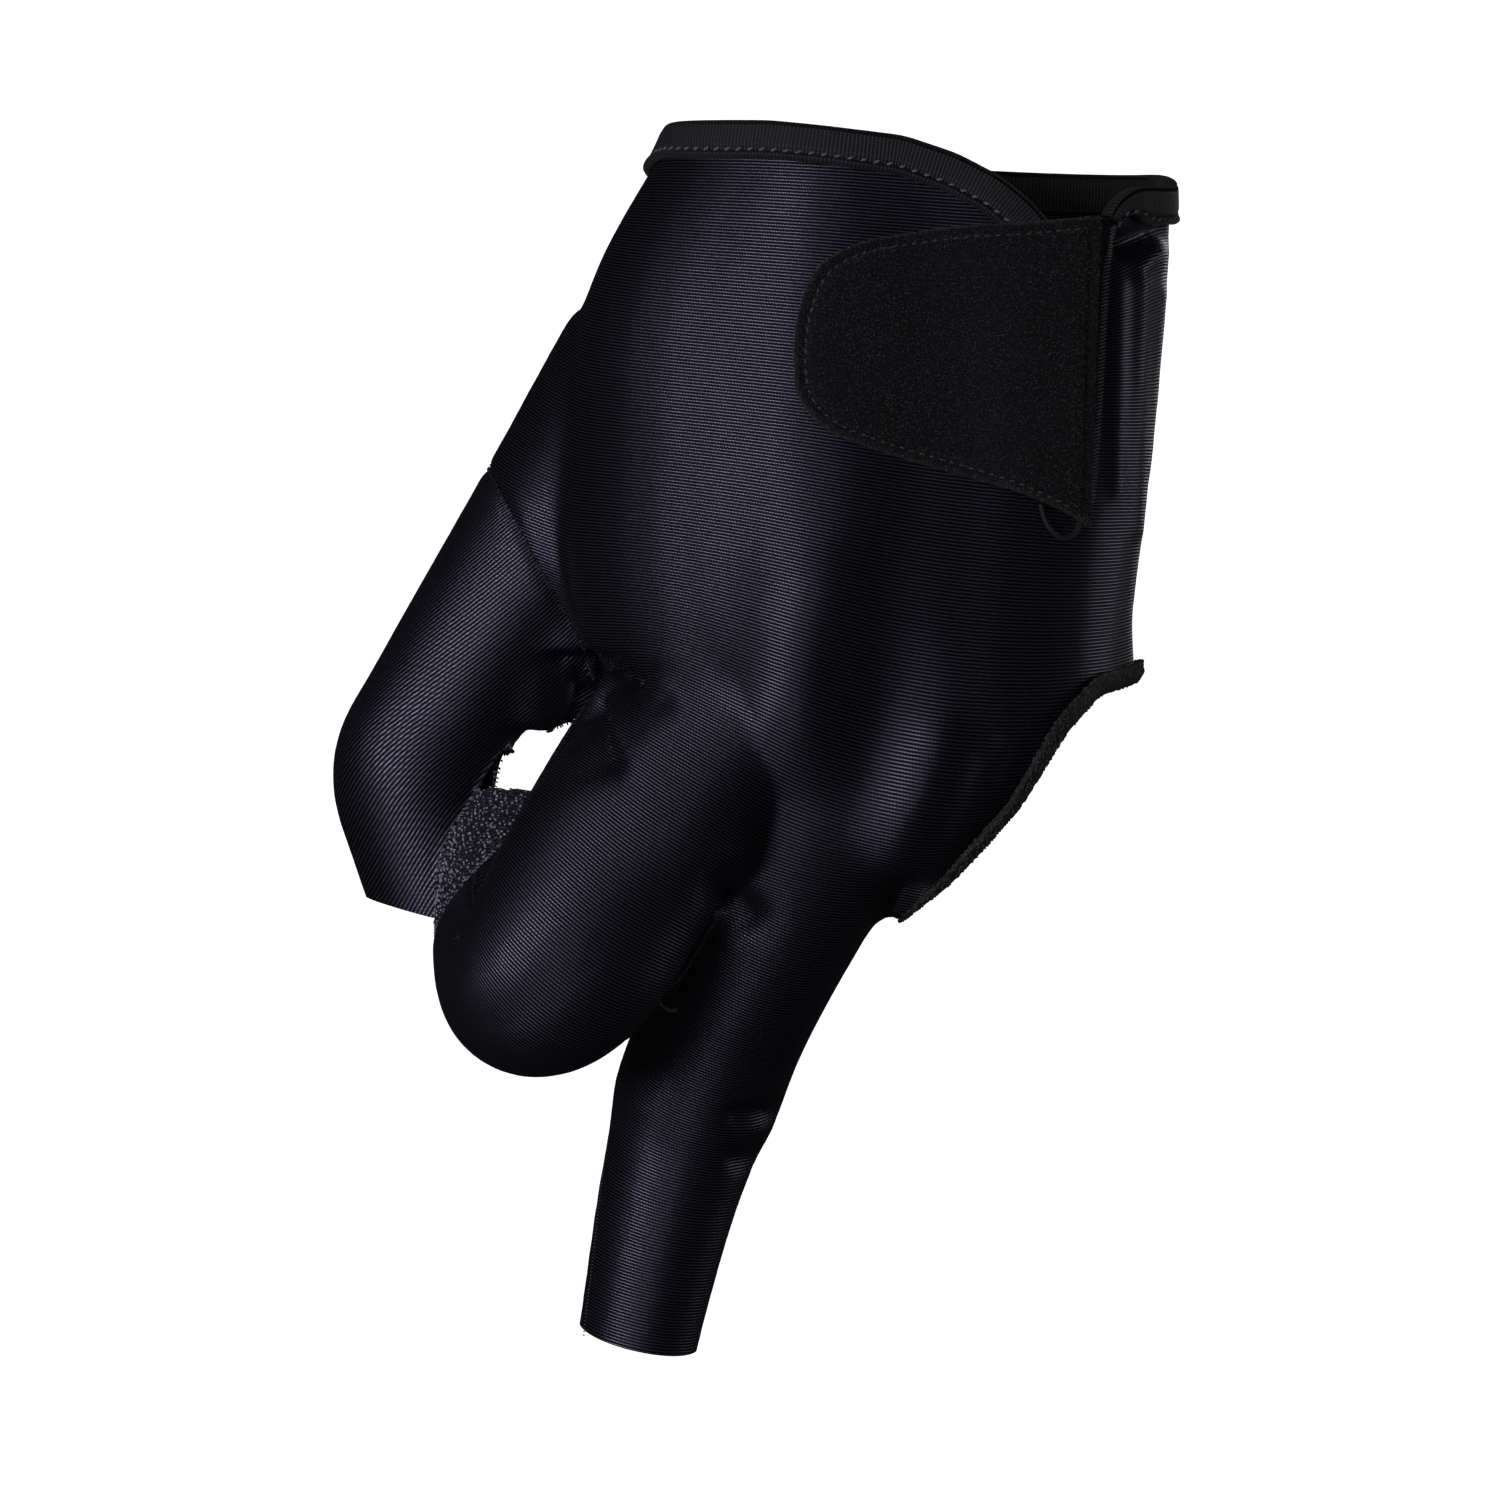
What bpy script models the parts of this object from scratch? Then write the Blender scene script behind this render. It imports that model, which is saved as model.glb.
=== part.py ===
"""Three-finger billiard glove for the left hand, worn in a closed bridge: wrist up, fingers down.

The origin is the middle of the wrist opening. Z is up, X goes from the thumb side to the little
finger side, and the back of the hand faces -Y.
"""

import math
from collections import namedtuple

import bmesh
import bpy
import numpy as np
from mathutils import Vector
from mathutils.bvhtree import BVHTree

# Named sizes, in metres
HAND_LENGTH = 0.100
HAND_WIDTH = 0.080
HAND_DEPTH = 0.050
FINGER = 0.010
CLOTH = 0.0012
GAP = 0.0003
TAPE = 0.0008
WRIST_TAPE_WIDTH = 0.0042
SLIT_TAPE_WIDTH = 0.0011
ROLL_WIDTH = 0.0016
ROLL = 0.0009
TAB_THICKNESS = 0.0022
TAB_LIFT = 0.0017
TAB_EASE = 0.011
LOOP_RADIUS = 0.00035
LOOP_ROUNDNESS = 2
BINDING_GAP = 0.0006
LIP_HALF = 0.33
WRIST_END_ROOM = 0.0040
SLIT_END_ROOM = 0.0030

# Fineness of the cloth's facets
FORM_GRAIN = 0.0016
FORM_SMOOTHING = 14
SHEET_TRIANGLES = 3150
BOUND_ZONE = 0.0060
BOUND_EDGE = 0.0032
SNAP = 0.3
BINDING_STEP = 0.0034
ROLL_STEP = 0.0034
SLIT_STEP = 0.0030
EDGE_PARTS = 4
EDGE_EASING = 3

# Sections of the palm. Down is a share of the hand's length from the wrist, left and right are
# shares of its width, front and back are shares of its depth, and bow carries the sides towards
# the palm.
PalmRow = namedtuple("PalmRow", "down left right front back bow")
PALM = [
    PalmRow(-0.14, -0.400, 0.415, -0.41, 0.40, 0.00),
    PalmRow(-0.06, -0.424, 0.425, -0.41, 0.40, 0.00),
    PalmRow(0.00, -0.464, 0.440, -0.41, 0.40, 0.00),
    PalmRow(0.10, -0.535, 0.438, -0.44, 0.39, 0.01),
    PalmRow(0.22, -0.585, 0.424, -0.48, 0.37, 0.02),
    PalmRow(0.36, -0.590, 0.408, -0.54, 0.32, 0.05),
    PalmRow(0.50, -0.600, 0.388, -0.58, 0.25, 0.08),
    PalmRow(0.62, -0.570, 0.368, -0.61, 0.17, 0.10),
    PalmRow(0.74, -0.470, 0.345, -0.62, 0.10, 0.11),
    PalmRow(0.86, -0.350, 0.230, -0.57, 0.06, 0.10),
    PalmRow(0.95, -0.250, 0.080, -0.46, 0.04, 0.06),
]
PALM_SQUARENESS = 2.4
PALM_POINTS = 28

# Rows along the thumb, the fingers and the web. Across, toward the palm and down are shares of
# the hand's width, depth and length; wide and deep are half widths as shares of FINGER.
LimbRow = namedtuple("LimbRow", "across toward down wide deep")
THUMB = [
    LimbRow(-0.430, 0.08, 0.24, 1.42, 1.40),
    LimbRow(-0.544, 0.16, 0.40, 1.42, 1.42),
    LimbRow(-0.694, 0.22, 0.57, 1.22, 1.26),
    LimbRow(-0.812, 0.26, 0.72, 1.14, 1.14),
    LimbRow(-0.868, 0.27, 0.81, 1.14, 1.10),
    LimbRow(-0.852, 0.27, 0.91, 1.00, 1.00),
    LimbRow(-0.826, 0.27, 0.99, 0.94, 0.94),
    LimbRow(-0.812, 0.27, 1.08, 0.90, 0.90),
]
WEB = [
    LimbRow(-0.520, 0.12, 0.46, 1.10, 0.90),
    LimbRow(-0.600, 0.18, 0.62, 0.95, 0.80),
    LimbRow(-0.680, 0.23, 0.735, 0.66, 0.66),
]
INDEX = [
    LimbRow(-0.250, -0.28, 0.66, 1.30, 1.20),
    LimbRow(-0.369, -0.34, 0.77, 1.58, 1.30),
    LimbRow(-0.496, -0.46, 0.915, 1.51, 1.15),
    LimbRow(-0.594, -0.50, 1.055, 1.46, 1.20),
    LimbRow(-0.650, -0.38, 1.100, 1.26, 1.25),
    LimbRow(-0.688, -0.16, 1.050, 1.14, 1.10),
    LimbRow(-0.688, 0.02, 0.970, 1.05, 1.00),
    LimbRow(-0.652, 0.16, 0.885, 0.93, 0.90),
    LimbRow(-0.622, 0.23, 0.820, 0.88, 0.88),
]
MIDDLE = [
    LimbRow(-0.062, -0.28, 0.70, 1.30, 1.20),
    LimbRow(-0.144, -0.30, 0.84, 1.43, 1.25),
    LimbRow(-0.257, -0.12, 1.04, 1.20, 1.15),
    LimbRow(-0.328, 0.06, 1.16, 1.17, 1.15),
    LimbRow(-0.375, 0.18, 1.26, 1.18, 1.15),
    LimbRow(-0.398, 0.22, 1.32, 1.07, 1.08),
    LimbRow(-0.431, 0.25, 1.42, 0.98, 1.00),
    LimbRow(-0.470, 0.30, 1.57, 0.88, 0.93),
    LimbRow(-0.494, 0.33, 1.67, 0.85, 0.90),
]
RING = [
    LimbRow(0.068, -0.28, 0.72, 1.25, 1.20),
    LimbRow(0.082, -0.12, 1.00, 1.10, 1.05),
]
LITTLE = [
    LimbRow(0.240, -0.16, 0.58, 1.02, 1.10),
    LimbRow(0.275, -0.04, 0.86, 0.95, 0.95),
]
# The middle of the loop that the index finger closes, which its back faces away from
INDEX_HUB = (-0.525, -0.04, 0.92)
# A hub far behind the palm, so that the back of the other fingers faces the front
FAR_HUB = (0.0, 60.0, 0.9)
LIMB_POINTS = 20
LIMB_PARTS = 5
PALM_PARTS = 2
# How sharply the side seams pass from one finger to the next
SEAM_SHARPNESS = 8

# Folds that show on the back. Ends as shares of the hand's width and length, height and
# half width in metres; a height below zero is a groove.
Fold = namedtuple("Fold", "across_a down_a across_b down_b height half_width")
FOLDS = [
    Fold(-0.565, 0.655, -0.470, 0.665, -0.0022, 0.0026),
    Fold(-0.470, 0.665, -0.425, 0.705, -0.0014, 0.0024),
    Fold(-0.540, 0.735, -0.470, 0.775, -0.0012, 0.0022),
    Fold(0.030, 0.770, -0.030, 0.900, 0.0012, 0.0040),
    Fold(-0.080, 0.560, -0.080, 0.820, -0.0012, 0.0060),
    Fold(-0.330, 0.960, -0.290, 1.000, -0.0016, 0.0030),
    Fold(-0.300, 1.283, -0.200, 1.277, -0.0012, 0.0016),
    Fold(-0.300, 1.345, -0.200, 1.315, -0.0010, 0.0016),
]
# The folds fade out where the cloth turns this far from the front
FOLD_FADE = 0.5

# The edge of the wrist and the slit in the back, from the thumb side over the back to the
# little finger side, as shares of the hand's width and length
Corner = namedtuple("Corner", "across down")
WRIST_EDGE = [
    Corner(-1.000, -0.066),
    Corner(-0.420, -0.066),
    Corner(-0.250, -0.060),
    Corner(-0.025, -0.038),
    Corner(0.062, -0.015),
    Corner(0.132, 0.014),
    Corner(0.182, 0.046),
    Corner(0.220, 0.082),
    Corner(0.236, 0.120),
    Corner(0.240, 0.180),
    Corner(0.240, 0.300),
    Corner(0.236, 0.440),
    Corner(0.260, 0.470),
    Corner(0.284, 0.452),
    Corner(0.297, 0.330),
    Corner(0.306, 0.205),
    Corner(0.313, 0.120),
    Corner(0.322, 0.070),
    Corner(0.338, 0.044),
    Corner(0.368, 0.026),
    Corner(0.420, 0.022),
    Corner(1.000, 0.022),
]
SLIT_BOTTOM = Corner(0.260, 0.470)
SLIT_TOP = Corner(0.362, 0.029)
# The rows of WRIST_EDGE that make the slit's side under the tab
SLIT_FIRST = 5
SLIT_LAST = 11
WRIST_SIDE_BLEND = 0.16

# The edge of the opening for the ring and little fingers
FINGER_OPENING = [
    Corner(0.600, 0.655),
    Corner(0.400, 0.660),
    Corner(0.365, 0.680),
    Corner(0.300, 0.697),
    Corner(0.240, 0.750),
    Corner(0.162, 0.853),
    Corner(0.042, 0.962),
    Corner(-0.026, 1.010),
    Corner(-0.062, 1.034),
    Corner(-0.040, 1.120),
    Corner(0.000, 1.300),
    Corner(0.600, 1.300),
]
OPENING_MIDDLE = (0.162, -0.40, 0.853)

# The outline of the strap tab
TAB = [
    Corner(0.294, 0.063),
    Corner(0.180, 0.074),
    Corner(0.070, 0.079),
    Corner(-0.024, 0.089),
    Corner(-0.100, 0.102),
    Corner(-0.165, 0.132),
    Corner(-0.198, 0.190),
    Corner(-0.208, 0.262),
    Corner(-0.196, 0.318),
    Corner(-0.145, 0.358),
    Corner(-0.060, 0.384),
    Corner(0.043, 0.404),
    Corner(0.145, 0.425),
    Corner(0.222, 0.445),
    Corner(0.268, 0.462),
]
TAB_GRAIN = 0.0036
TAB_PARTS = 3

# The small loop of tape at the foot of the slit
LOOP = [
    Corner(0.196, 0.464),
    Corner(0.208, 0.478),
    Corner(0.226, 0.487),
    Corner(0.244, 0.484),
    Corner(0.252, 0.474),
]
LOOP_LIFT = 0.0012
LOOP_PARTS = 4

# Where each sleeve ends: a point on its axis and the way the finger leaves it
Hem = namedtuple("Hem", "across toward down out")
THUMB_HEM = Hem(-0.830, 0.27, 1.008, (-0.25, 0.04, -0.965))
HEM_REACH = 1.4
INDEX_HEM = Hem(-0.646, 0.17, 0.860, (0.20, 0.25, 0.95))
MIDDLE_HEM = Hem(-0.474, 0.30, 1.593, (-0.22, 0.20, -0.955))

# Planes of seams: a point on the seam and the way its piece lies
Seam = namedtuple("Seam", "across toward down out")
GRIP_START = 4
THUMB_SEAM = Seam(-0.650, 0.10, 0.520, (-0.880, 0.0, -0.475))
GRIP_SEAM = Seam(-0.733, -0.10, 0.949, (-0.765, 0.30, 0.570))

COLOURS = {
    "back_panel": (0.010, 0.010, 0.018),
    "palm_panel": (0.012, 0.012, 0.020),
    "thumb_sleeve": (0.010, 0.010, 0.018),
    "index_grip_panel": (0.030, 0.030, 0.042),
    "wrist_binding": (0.006, 0.006, 0.008),
    "slit_binding": (0.008, 0.008, 0.010),
    "finger_opening_binding": (0.006, 0.006, 0.008),
    "strap_tab": (0.004, 0.004, 0.005),
    "slit_loop": (0.006, 0.006, 0.008),
}

Sheet = namedtuple("Sheet", "points normals faces")


def place(across, toward, down):
    """A point given in shares of the hand's width, depth and length."""
    return np.array([across * HAND_WIDTH, toward * HAND_DEPTH, -down * HAND_LENGTH])


def flat(corners):
    """The corners of an outline as points (x, z)."""
    return np.array([[c.across * HAND_WIDTH, -c.down * HAND_LENGTH] for c in corners])


def unit(vectors):
    vectors = np.asarray(vectors, float)
    return vectors / np.maximum(np.linalg.norm(vectors, axis=-1, keepdims=True), 1e-12)


def smoothstep(low, high, value):
    t = np.clip((value - low) / (high - low), 0.0, 1.0)
    return t * t * (3.0 - 2.0 * t)


def through(rows, between):
    """Points on a smooth curve through the rows, with the rows themselves among them."""
    rows = [np.array(row, float) for row in rows]
    rows = [2 * rows[0] - rows[1]] + rows + [2 * rows[-1] - rows[-2]]
    found = []
    for a, b, c, d in zip(rows, rows[1:], rows[2:], rows[3:]):
        for step in range(between):
            t = step / between
            bend = (2 * a - 5 * b + 4 * c - d) * t * t + (3 * b - a - 3 * c + d) * t**3
            found.append(0.5 * (2 * b + (c - a) * t + bend))
    found.append(rows[-2])
    return np.array(found)


# The form inside the cloth
class Limb:
    """A finger or the web: an axis, half widths, and the way its back faces."""

    def __init__(self, rows, hub):
        curve = through(rows, LIMB_PARTS)
        self.axis = np.array([place(*row[:3]) for row in curve])
        self.wide = curve[:, 3] * FINGER
        self.deep = curve[:, 4] * FINGER
        self.along = unit(np.gradient(self.axis, axis=0))
        out = unit(self.axis - place(*hub))
        out = out - np.sum(out * self.along, axis=1)[:, None] * self.along
        self.back = unit(out)
        self.side = np.cross(self.along, self.back)

    def rings(self):
        for at, side, back, wide, deep in zip(self.axis, self.side, self.back, self.wide, self.deep):
            turn = np.arange(LIMB_POINTS) * 2 * math.pi / LIMB_POINTS
            yield at + np.outer(np.cos(turn), side * wide) + np.outer(np.sin(turn), back * deep)

    def measure(self, points):
        """For each point: how far out it is in half widths, and how far to the back in metres."""
        reach = np.full(len(points), np.inf)
        toward_back = np.zeros(len(points))
        starts = self.axis[:-1]
        spans = self.axis[1:] - starts
        for i, (start, span) in enumerate(zip(starts, spans)):
            t = np.clip((points - start) @ span / (span @ span), 0.0, 1.0)
            away = points - start - t[:, None] * span
            half = self.wide[i] * (1 - t) + self.wide[i + 1] * t
            distance = np.linalg.norm(away, axis=1) / half
            back = self.back[i] * (1 - t[:, None]) + self.back[i + 1] * t[:, None]
            nearer = distance < reach
            reach = np.where(nearer, distance, reach)
            toward_back = np.where(nearer, np.sum(away * back, axis=1), toward_back)
        return reach, toward_back


def palm_rings():
    curve = through(PALM, PALM_PARTS)
    power = 2 / PALM_SQUARENESS
    for down, left, right, front, back, bow in curve:
        ring = []
        for k in range(PALM_POINTS):
            turn = 2 * math.pi * k / PALM_POINTS
            c, s = math.cos(turn), math.sin(turn)
            across = (left + right) / 2 + math.copysign(abs(c) ** power, c) * (right - left) / 2
            toward = (front + back) / 2 + math.copysign(abs(s) ** power, s) * (back - front) / 2
            ring.append(place(across, toward + bow * c * c, down))
        yield ring


def lofted(name, rings):
    """A closed body through rings of points."""
    body = bmesh.new()
    rings = [[body.verts.new(point) for point in ring] for ring in rings]
    for ring, following in zip(rings, rings[1:]):
        for k in range(len(ring)):
            after = (k + 1) % len(ring)
            body.faces.new((ring[k], ring[after], following[after], following[k]))
    body.faces.new(rings[0][::-1])
    body.faces.new(rings[-1])
    bmesh.ops.recalc_face_normals(body, faces=body.faces)
    mesh = bpy.data.meshes.new(name)
    body.to_mesh(mesh)
    body.free()
    return mesh


def evaluated(obj):
    bpy.context.view_layer.update()
    graph = bpy.context.evaluated_depsgraph_get()
    return bpy.data.meshes.new_from_object(obj.evaluated_get(graph))


def arrays_of(mesh):
    mesh.calc_loop_triangles()
    points = np.empty(len(mesh.vertices) * 3)
    mesh.vertices.foreach_get("co", points)
    faces = np.empty(len(mesh.loop_triangles) * 3, np.int32)
    mesh.loop_triangles.foreach_get("vertices", faces)
    return points.reshape(-1, 3), faces.reshape(-1, 3)


def normals_of(points, faces):
    corners = points[faces]
    across = np.cross(corners[:, 1] - corners[:, 0], corners[:, 2] - corners[:, 0])
    normals = np.zeros_like(points)
    for k in range(3):
        np.add.at(normals, faces[:, k], across)
    return unit(normals)


def to_segment(points, a, b):
    """The distance of each point to the segment from a to b."""
    span = b - a
    t = np.clip((points - a) @ span / max(span @ span, 1e-18), 0.0, 1.0)
    return np.linalg.norm(points - a - t[:, None] * span, axis=1)


def folded(points, normals):
    """The points with the folds of the back pressed in or raised."""
    shadow = points[:, [0, 2]]
    height = np.zeros(len(points))
    for fold in FOLDS:
        a, b = flat([Corner(fold.across_a, fold.down_a), Corner(fold.across_b, fold.down_b)])
        height += fold.height * np.exp(-((to_segment(shadow, a, b) / fold.half_width) ** 2))
    facing = smoothstep(0.0, FOLD_FADE, -normals[:, 1])
    return points + normals * (height * facing)[:, None]


def hand_form(limbs, fields, guides):
    """The surface of the hand in the glove, as one sheet without openings."""
    joined = bmesh.new()
    for mesh in [lofted("palm", palm_rings())] + [lofted("limb", limb.rings()) for limb in limbs]:
        joined.from_mesh(mesh)
    mesh = bpy.data.meshes.new("hand_form")
    joined.to_mesh(mesh)
    joined.free()
    obj = bpy.data.objects.new("hand_form", mesh)
    guides.objects.link(obj)
    remesh = obj.modifiers.new("one skin", "REMESH")
    remesh.mode = "VOXEL"
    remesh.voxel_size = FORM_GRAIN
    smooth = obj.modifiers.new("even", "SMOOTH")
    smooth.factor = 0.5
    smooth.iterations = FORM_SMOOTHING
    points, faces = arrays_of(evaluated(obj))
    points = folded(points, normals_of(points, faces))
    mesh = bpy.data.meshes.new("hand_form_coarse")
    mesh.from_pydata(points.tolist(), [], faces.tolist())
    obj.modifiers.clear()
    obj.data = mesh
    fewer = obj.modifiers.new("fewer facets", "DECIMATE")
    fewer.ratio = SHEET_TRIANGLES / len(faces)
    fine = Surface(Sheet(points, normals_of(points, faces), faces))
    points, faces = refined(evaluated(obj), fields, fine)
    return Sheet(points, normals_of(points, faces), faces)


def refined(mesh, fields, fine):
    """The mesh with its long edges halved where a binding lies on it, back on the fine form."""
    body = bmesh.new()
    body.from_mesh(mesh)
    body.verts.ensure_lookup_table()
    points = np.array([tuple(vert.co) for vert in body.verts])
    bound = (np.abs(fields.past_wrist(points)) < BOUND_ZONE) | (
        np.abs(fields.past_opening(points)) < BOUND_ZONE
    )
    long = [
        edge
        for edge in body.edges
        if bound[edge.verts[0].index]
        and bound[edge.verts[1].index]
        and edge.calc_length() > BOUND_EDGE
    ]
    bmesh.ops.subdivide_edges(body, edges=long, cuts=1, use_grid_fill=True)
    bmesh.ops.triangulate(body, faces=body.faces)
    body.verts.ensure_lookup_table()
    for vert in body.verts[len(points) :]:
        vert.co = Vector(fine.nearest(vert.co)[0])
    body.to_mesh(mesh)
    body.free()
    return arrays_of(mesh)


# Fields: each gives, for points, a signed distance to an edge or a seam
def inside_outline(outline, shadow):
    """The distance of points (x, z) to a closed outline, above zero inside it."""
    distance = np.full(len(shadow), np.inf)
    inside = np.zeros(len(shadow), bool)
    for a, b in zip(outline, np.roll(outline, -1, axis=0)):
        distance = np.minimum(distance, to_segment(shadow, a, b))
        spans = (a[1] > shadow[:, 1]) != (b[1] > shadow[:, 1])
        rise = b[1] - a[1] if b[1] != a[1] else 1e-12
        crossing = a[0] + (shadow[:, 1] - a[1]) * (b[0] - a[0]) / rise
        inside ^= spans & (shadow[:, 0] < crossing)
    return np.where(inside, distance, -distance)


def beyond(plane, points):
    """How far points lie past a hem or a seam."""
    return (points - place(plane.across, plane.toward, plane.down)) @ unit(plane.out)


class Fields:
    def __init__(self, thumb, web, index, middle, ring, little):
        self.thumb = thumb
        self.web = web
        self.index = index
        self.middle = middle
        self.index_base = Limb(INDEX[:GRIP_START], INDEX_HUB)
        self.index_end = Limb(INDEX[GRIP_START:], INDEX_HUB)
        self.limbs = [thumb, web, index, middle, ring, little]
        edge = flat(WRIST_EDGE)
        top = np.array([[HAND_WIDTH, HAND_LENGTH], [-HAND_WIDTH, HAND_LENGTH]])
        self.wrist_front = np.vstack([edge, top])
        self.wrist_back = np.vstack([edge[:1], edge[-1:], top])
        self.opening = flat(FINGER_OPENING)

    def palm(self, points):
        """As Limb.measure, for the palm."""
        rows = np.array(PALM)
        down = -points[:, 2] / HAND_LENGTH
        left, right, front, back, bow = (
            np.interp(down, rows[:, 0], rows[:, k]) for k in range(1, 6)
        )
        across = (points[:, 0] / HAND_WIDTH - (left + right) / 2) / ((right - left) / 2)
        middle = (front + back) / 2 + bow * np.clip(across, -1, 1) ** 2
        toward = points[:, 1] / HAND_DEPTH - middle
        past = np.maximum(0.0, down - rows[-1, 0]) * HAND_LENGTH / FINGER
        reach = np.hypot(across, toward / ((back - front) / 2)) + past
        return reach, -toward * HAND_DEPTH

    def to_back(self, points):
        """Above zero on the back of the hand and fingers, zero on the side seams."""
        total = np.zeros(len(points))
        weight = np.zeros(len(points))
        for reach, value in [self.palm(points)] + [limb.measure(points) for limb in self.limbs]:
            share = (reach + 1e-6) ** -SEAM_SHARPNESS
            total += share * value
            weight += share
        return total / weight

    def of_limb(self, own, others, points):
        """Above zero nearer to one limb than to the others."""
        mine = np.min([limb.measure(points)[0] for limb in own], axis=0)
        theirs = np.min([limb.measure(points)[0] for limb in others], axis=0)
        return (theirs - mine) * FINGER / 2

    def past_wrist(self, points):
        shadow = points[:, [0, 2]]
        front = inside_outline(self.wrist_front, shadow)
        back = inside_outline(self.wrist_back, shadow)
        toward = points[:, 1] / HAND_DEPTH
        share = smoothstep(-WRIST_SIDE_BLEND, WRIST_SIDE_BLEND, toward)
        return front * (1 - share) + back * share

    def past_opening(self, points):
        return inside_outline(self.opening, points[:, [0, 2]])

    def past_hem(self, hem, own, others, points):
        centre = place(hem.across, hem.toward, hem.down)
        near = HEM_REACH * FINGER - np.linalg.norm(points - centre, axis=1)
        past = np.minimum(beyond(hem, points), near)
        return np.minimum(past, self.of_limb(own, others, points)) if others else past

    def to_thumb(self, points):
        own = self.of_limb([self.thumb, self.web], [self.index], points)
        return np.minimum(beyond(THUMB_SEAM, points), own)

    def to_grip(self, points):
        others = [self.index_base, self.thumb, self.web, self.middle]
        own = self.of_limb([self.index_end], others, points)
        return np.minimum(beyond(GRIP_SEAM, points), own)


# Cutting and thickening the cloth
def snapped(sheet, field):
    """The sheet with corners that are close to the field's zero line moved onto it.

    A corner on the sheet's border only slides along the border.
    """
    points, normals, faces = sheet.points.copy(), sheet.normals.copy(), sheet.faces
    height = field(points)
    ends = np.unique(np.sort(np.vstack([faces[:, [0, 1]], faces[:, [1, 2]], faces[:, [2, 0]]])), axis=0)
    ends = ends[(height[ends[:, 0]] > 0) != (height[ends[:, 1]] > 0)]
    share = height[ends[:, 0]] / (height[ends[:, 0]] - height[ends[:, 1]])
    nearness = np.minimum(share, 1 - share)
    order = np.argsort(-nearness, kind="stable")
    order = order[nearness[order] < SNAP]
    a, b, t = ends[order, 0], ends[order, 1], share[order]
    corner = np.where(t < 0.5, a, b)
    rim = set(map(frozenset, border(faces)))
    on_rim = set().union(*rim)
    free = [c not in on_rim or frozenset((i, j)) in rim for c, i, j in zip(corner, a, b)]
    a, b, t, corner = a[free], b[free], t[free], corner[free]
    t = t[:, None]
    points[corner] = sheet.points[a] * (1 - t) + sheet.points[b] * t
    normals[corner] = unit(sheet.normals[a] * (1 - t) + sheet.normals[b] * t)
    return Sheet(points, normals, faces), np.unique(corner)


def seamed(sheet, field, gap):
    """The two parts of the sheet on each side of a seam, with a gap between them."""
    sheet, on_line = snapped(sheet, field)
    height = field(sheet.points)
    height[on_line] = 0.0
    return cut(sheet, height - gap / 2), cut(sheet, -height - gap / 2)


def trimmed(sheet, field):
    """The part of the sheet where the field is above zero, cut along its zero line."""
    sheet, on_line = snapped(sheet, field)
    height = field(sheet.points)
    height[on_line] = 0.0
    return cut(sheet, height)


def cut(sheet, height):
    """The part of the sheet where the height given for each point is above zero."""
    points, normals, faces = sheet
    sign = np.sign(height)[faces]
    whole = (sign.min(axis=1) >= 0) & (sign.max(axis=1) > 0)
    split = (sign.min(axis=1) < 0) & (sign.max(axis=1) > 0)
    kept = faces[whole].tolist()
    extra_points, extra_normals, made = [], [], {}

    def crossing(i, j):
        key = (min(i, j), max(i, j))
        if key not in made:
            i, j = key
            t = height[i] / (height[i] - height[j])
            made[key] = len(points) + len(extra_points)
            extra_points.append(points[i] * (1 - t) + points[j] * t)
            extra_normals.append(normals[i] * (1 - t) + normals[j] * t)
        return made[key]

    for face in faces[split]:
        ring = []
        for i, j in zip(face, np.roll(face, -1)):
            if height[i] >= 0:
                ring.append(int(i))
            if height[i] * height[j] < 0:
                ring.append(crossing(int(i), int(j)))
        if len(ring) == 3:
            kept.append(ring)
        elif len(ring) == 4:
            kept.append([ring[0], ring[1], ring[2]])
            kept.append([ring[0], ring[2], ring[3]])
    if extra_points:
        points = np.vstack([points, extra_points])
        normals = np.vstack([normals, extra_normals])
    return largest(Sheet(points, unit(normals), unpinched(np.array(kept))))


def fans(faces, corner):
    """The faces round a corner, as groups joined over edges that meet at it."""
    left = np.flatnonzero((faces == corner).any(axis=1)).tolist()
    groups = []
    while left:
        group = [left.pop()]
        rim = set(faces[group[0]].tolist()) - {corner}
        grown = True
        while grown:
            grown = False
            for face in list(left):
                ends = set(faces[face].tolist()) - {corner}
                if ends & rim:
                    group.append(face)
                    rim |= ends
                    left.remove(face)
                    grown = True
        groups.append(group)
    return groups


def unpinched(faces):
    """The faces without the smaller of two parts that meet only at a corner."""
    while True:
        starts, counts = np.unique([a for a, _ in border(faces)], return_counts=True)
        pinched = starts[counts > 1]
        if not len(pinched):
            return faces
        loose = []
        for corner in pinched:
            groups = sorted(fans(faces, corner), key=len)
            loose += [face for group in groups[:-1] for face in group]
        faces = np.delete(faces, sorted(set(loose)), axis=0)


def largest(sheet):
    """The sheet without loose scraps and unused points."""
    label = np.arange(len(sheet.points))
    while True:
        lowest = label[sheet.faces].min(axis=1)
        before = label.copy()
        for k in range(3):
            np.minimum.at(label, sheet.faces[:, k], lowest)
        label = label[label]
        if (label == before).all():
            break
    owners, counts = np.unique(label[sheet.faces[:, 0]], return_counts=True)
    faces = sheet.faces[label[sheet.faces[:, 0]] == owners[np.argmax(counts)]]
    used, index = np.unique(faces, return_inverse=True)
    return Sheet(sheet.points[used], sheet.normals[used], index.reshape(-1, 3))


def border(faces):
    """The directed edges that only one face has."""
    edges = np.vstack([faces[:, [0, 1]], faces[:, [1, 2]], faces[:, [2, 0]]])
    have = set(map(tuple, edges.tolist()))
    return [edge for edge in map(tuple, edges.tolist()) if edge[::-1] not in have]


def border_loops(sheet):
    following = dict(border(sheet.faces))
    loops = []
    while following:
        start = min(following)
        loop, at = [start], following.pop(start)
        while at != start:
            loop.append(at)
            at = following.pop(at)
        loops.append(loop)
    return loops


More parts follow.
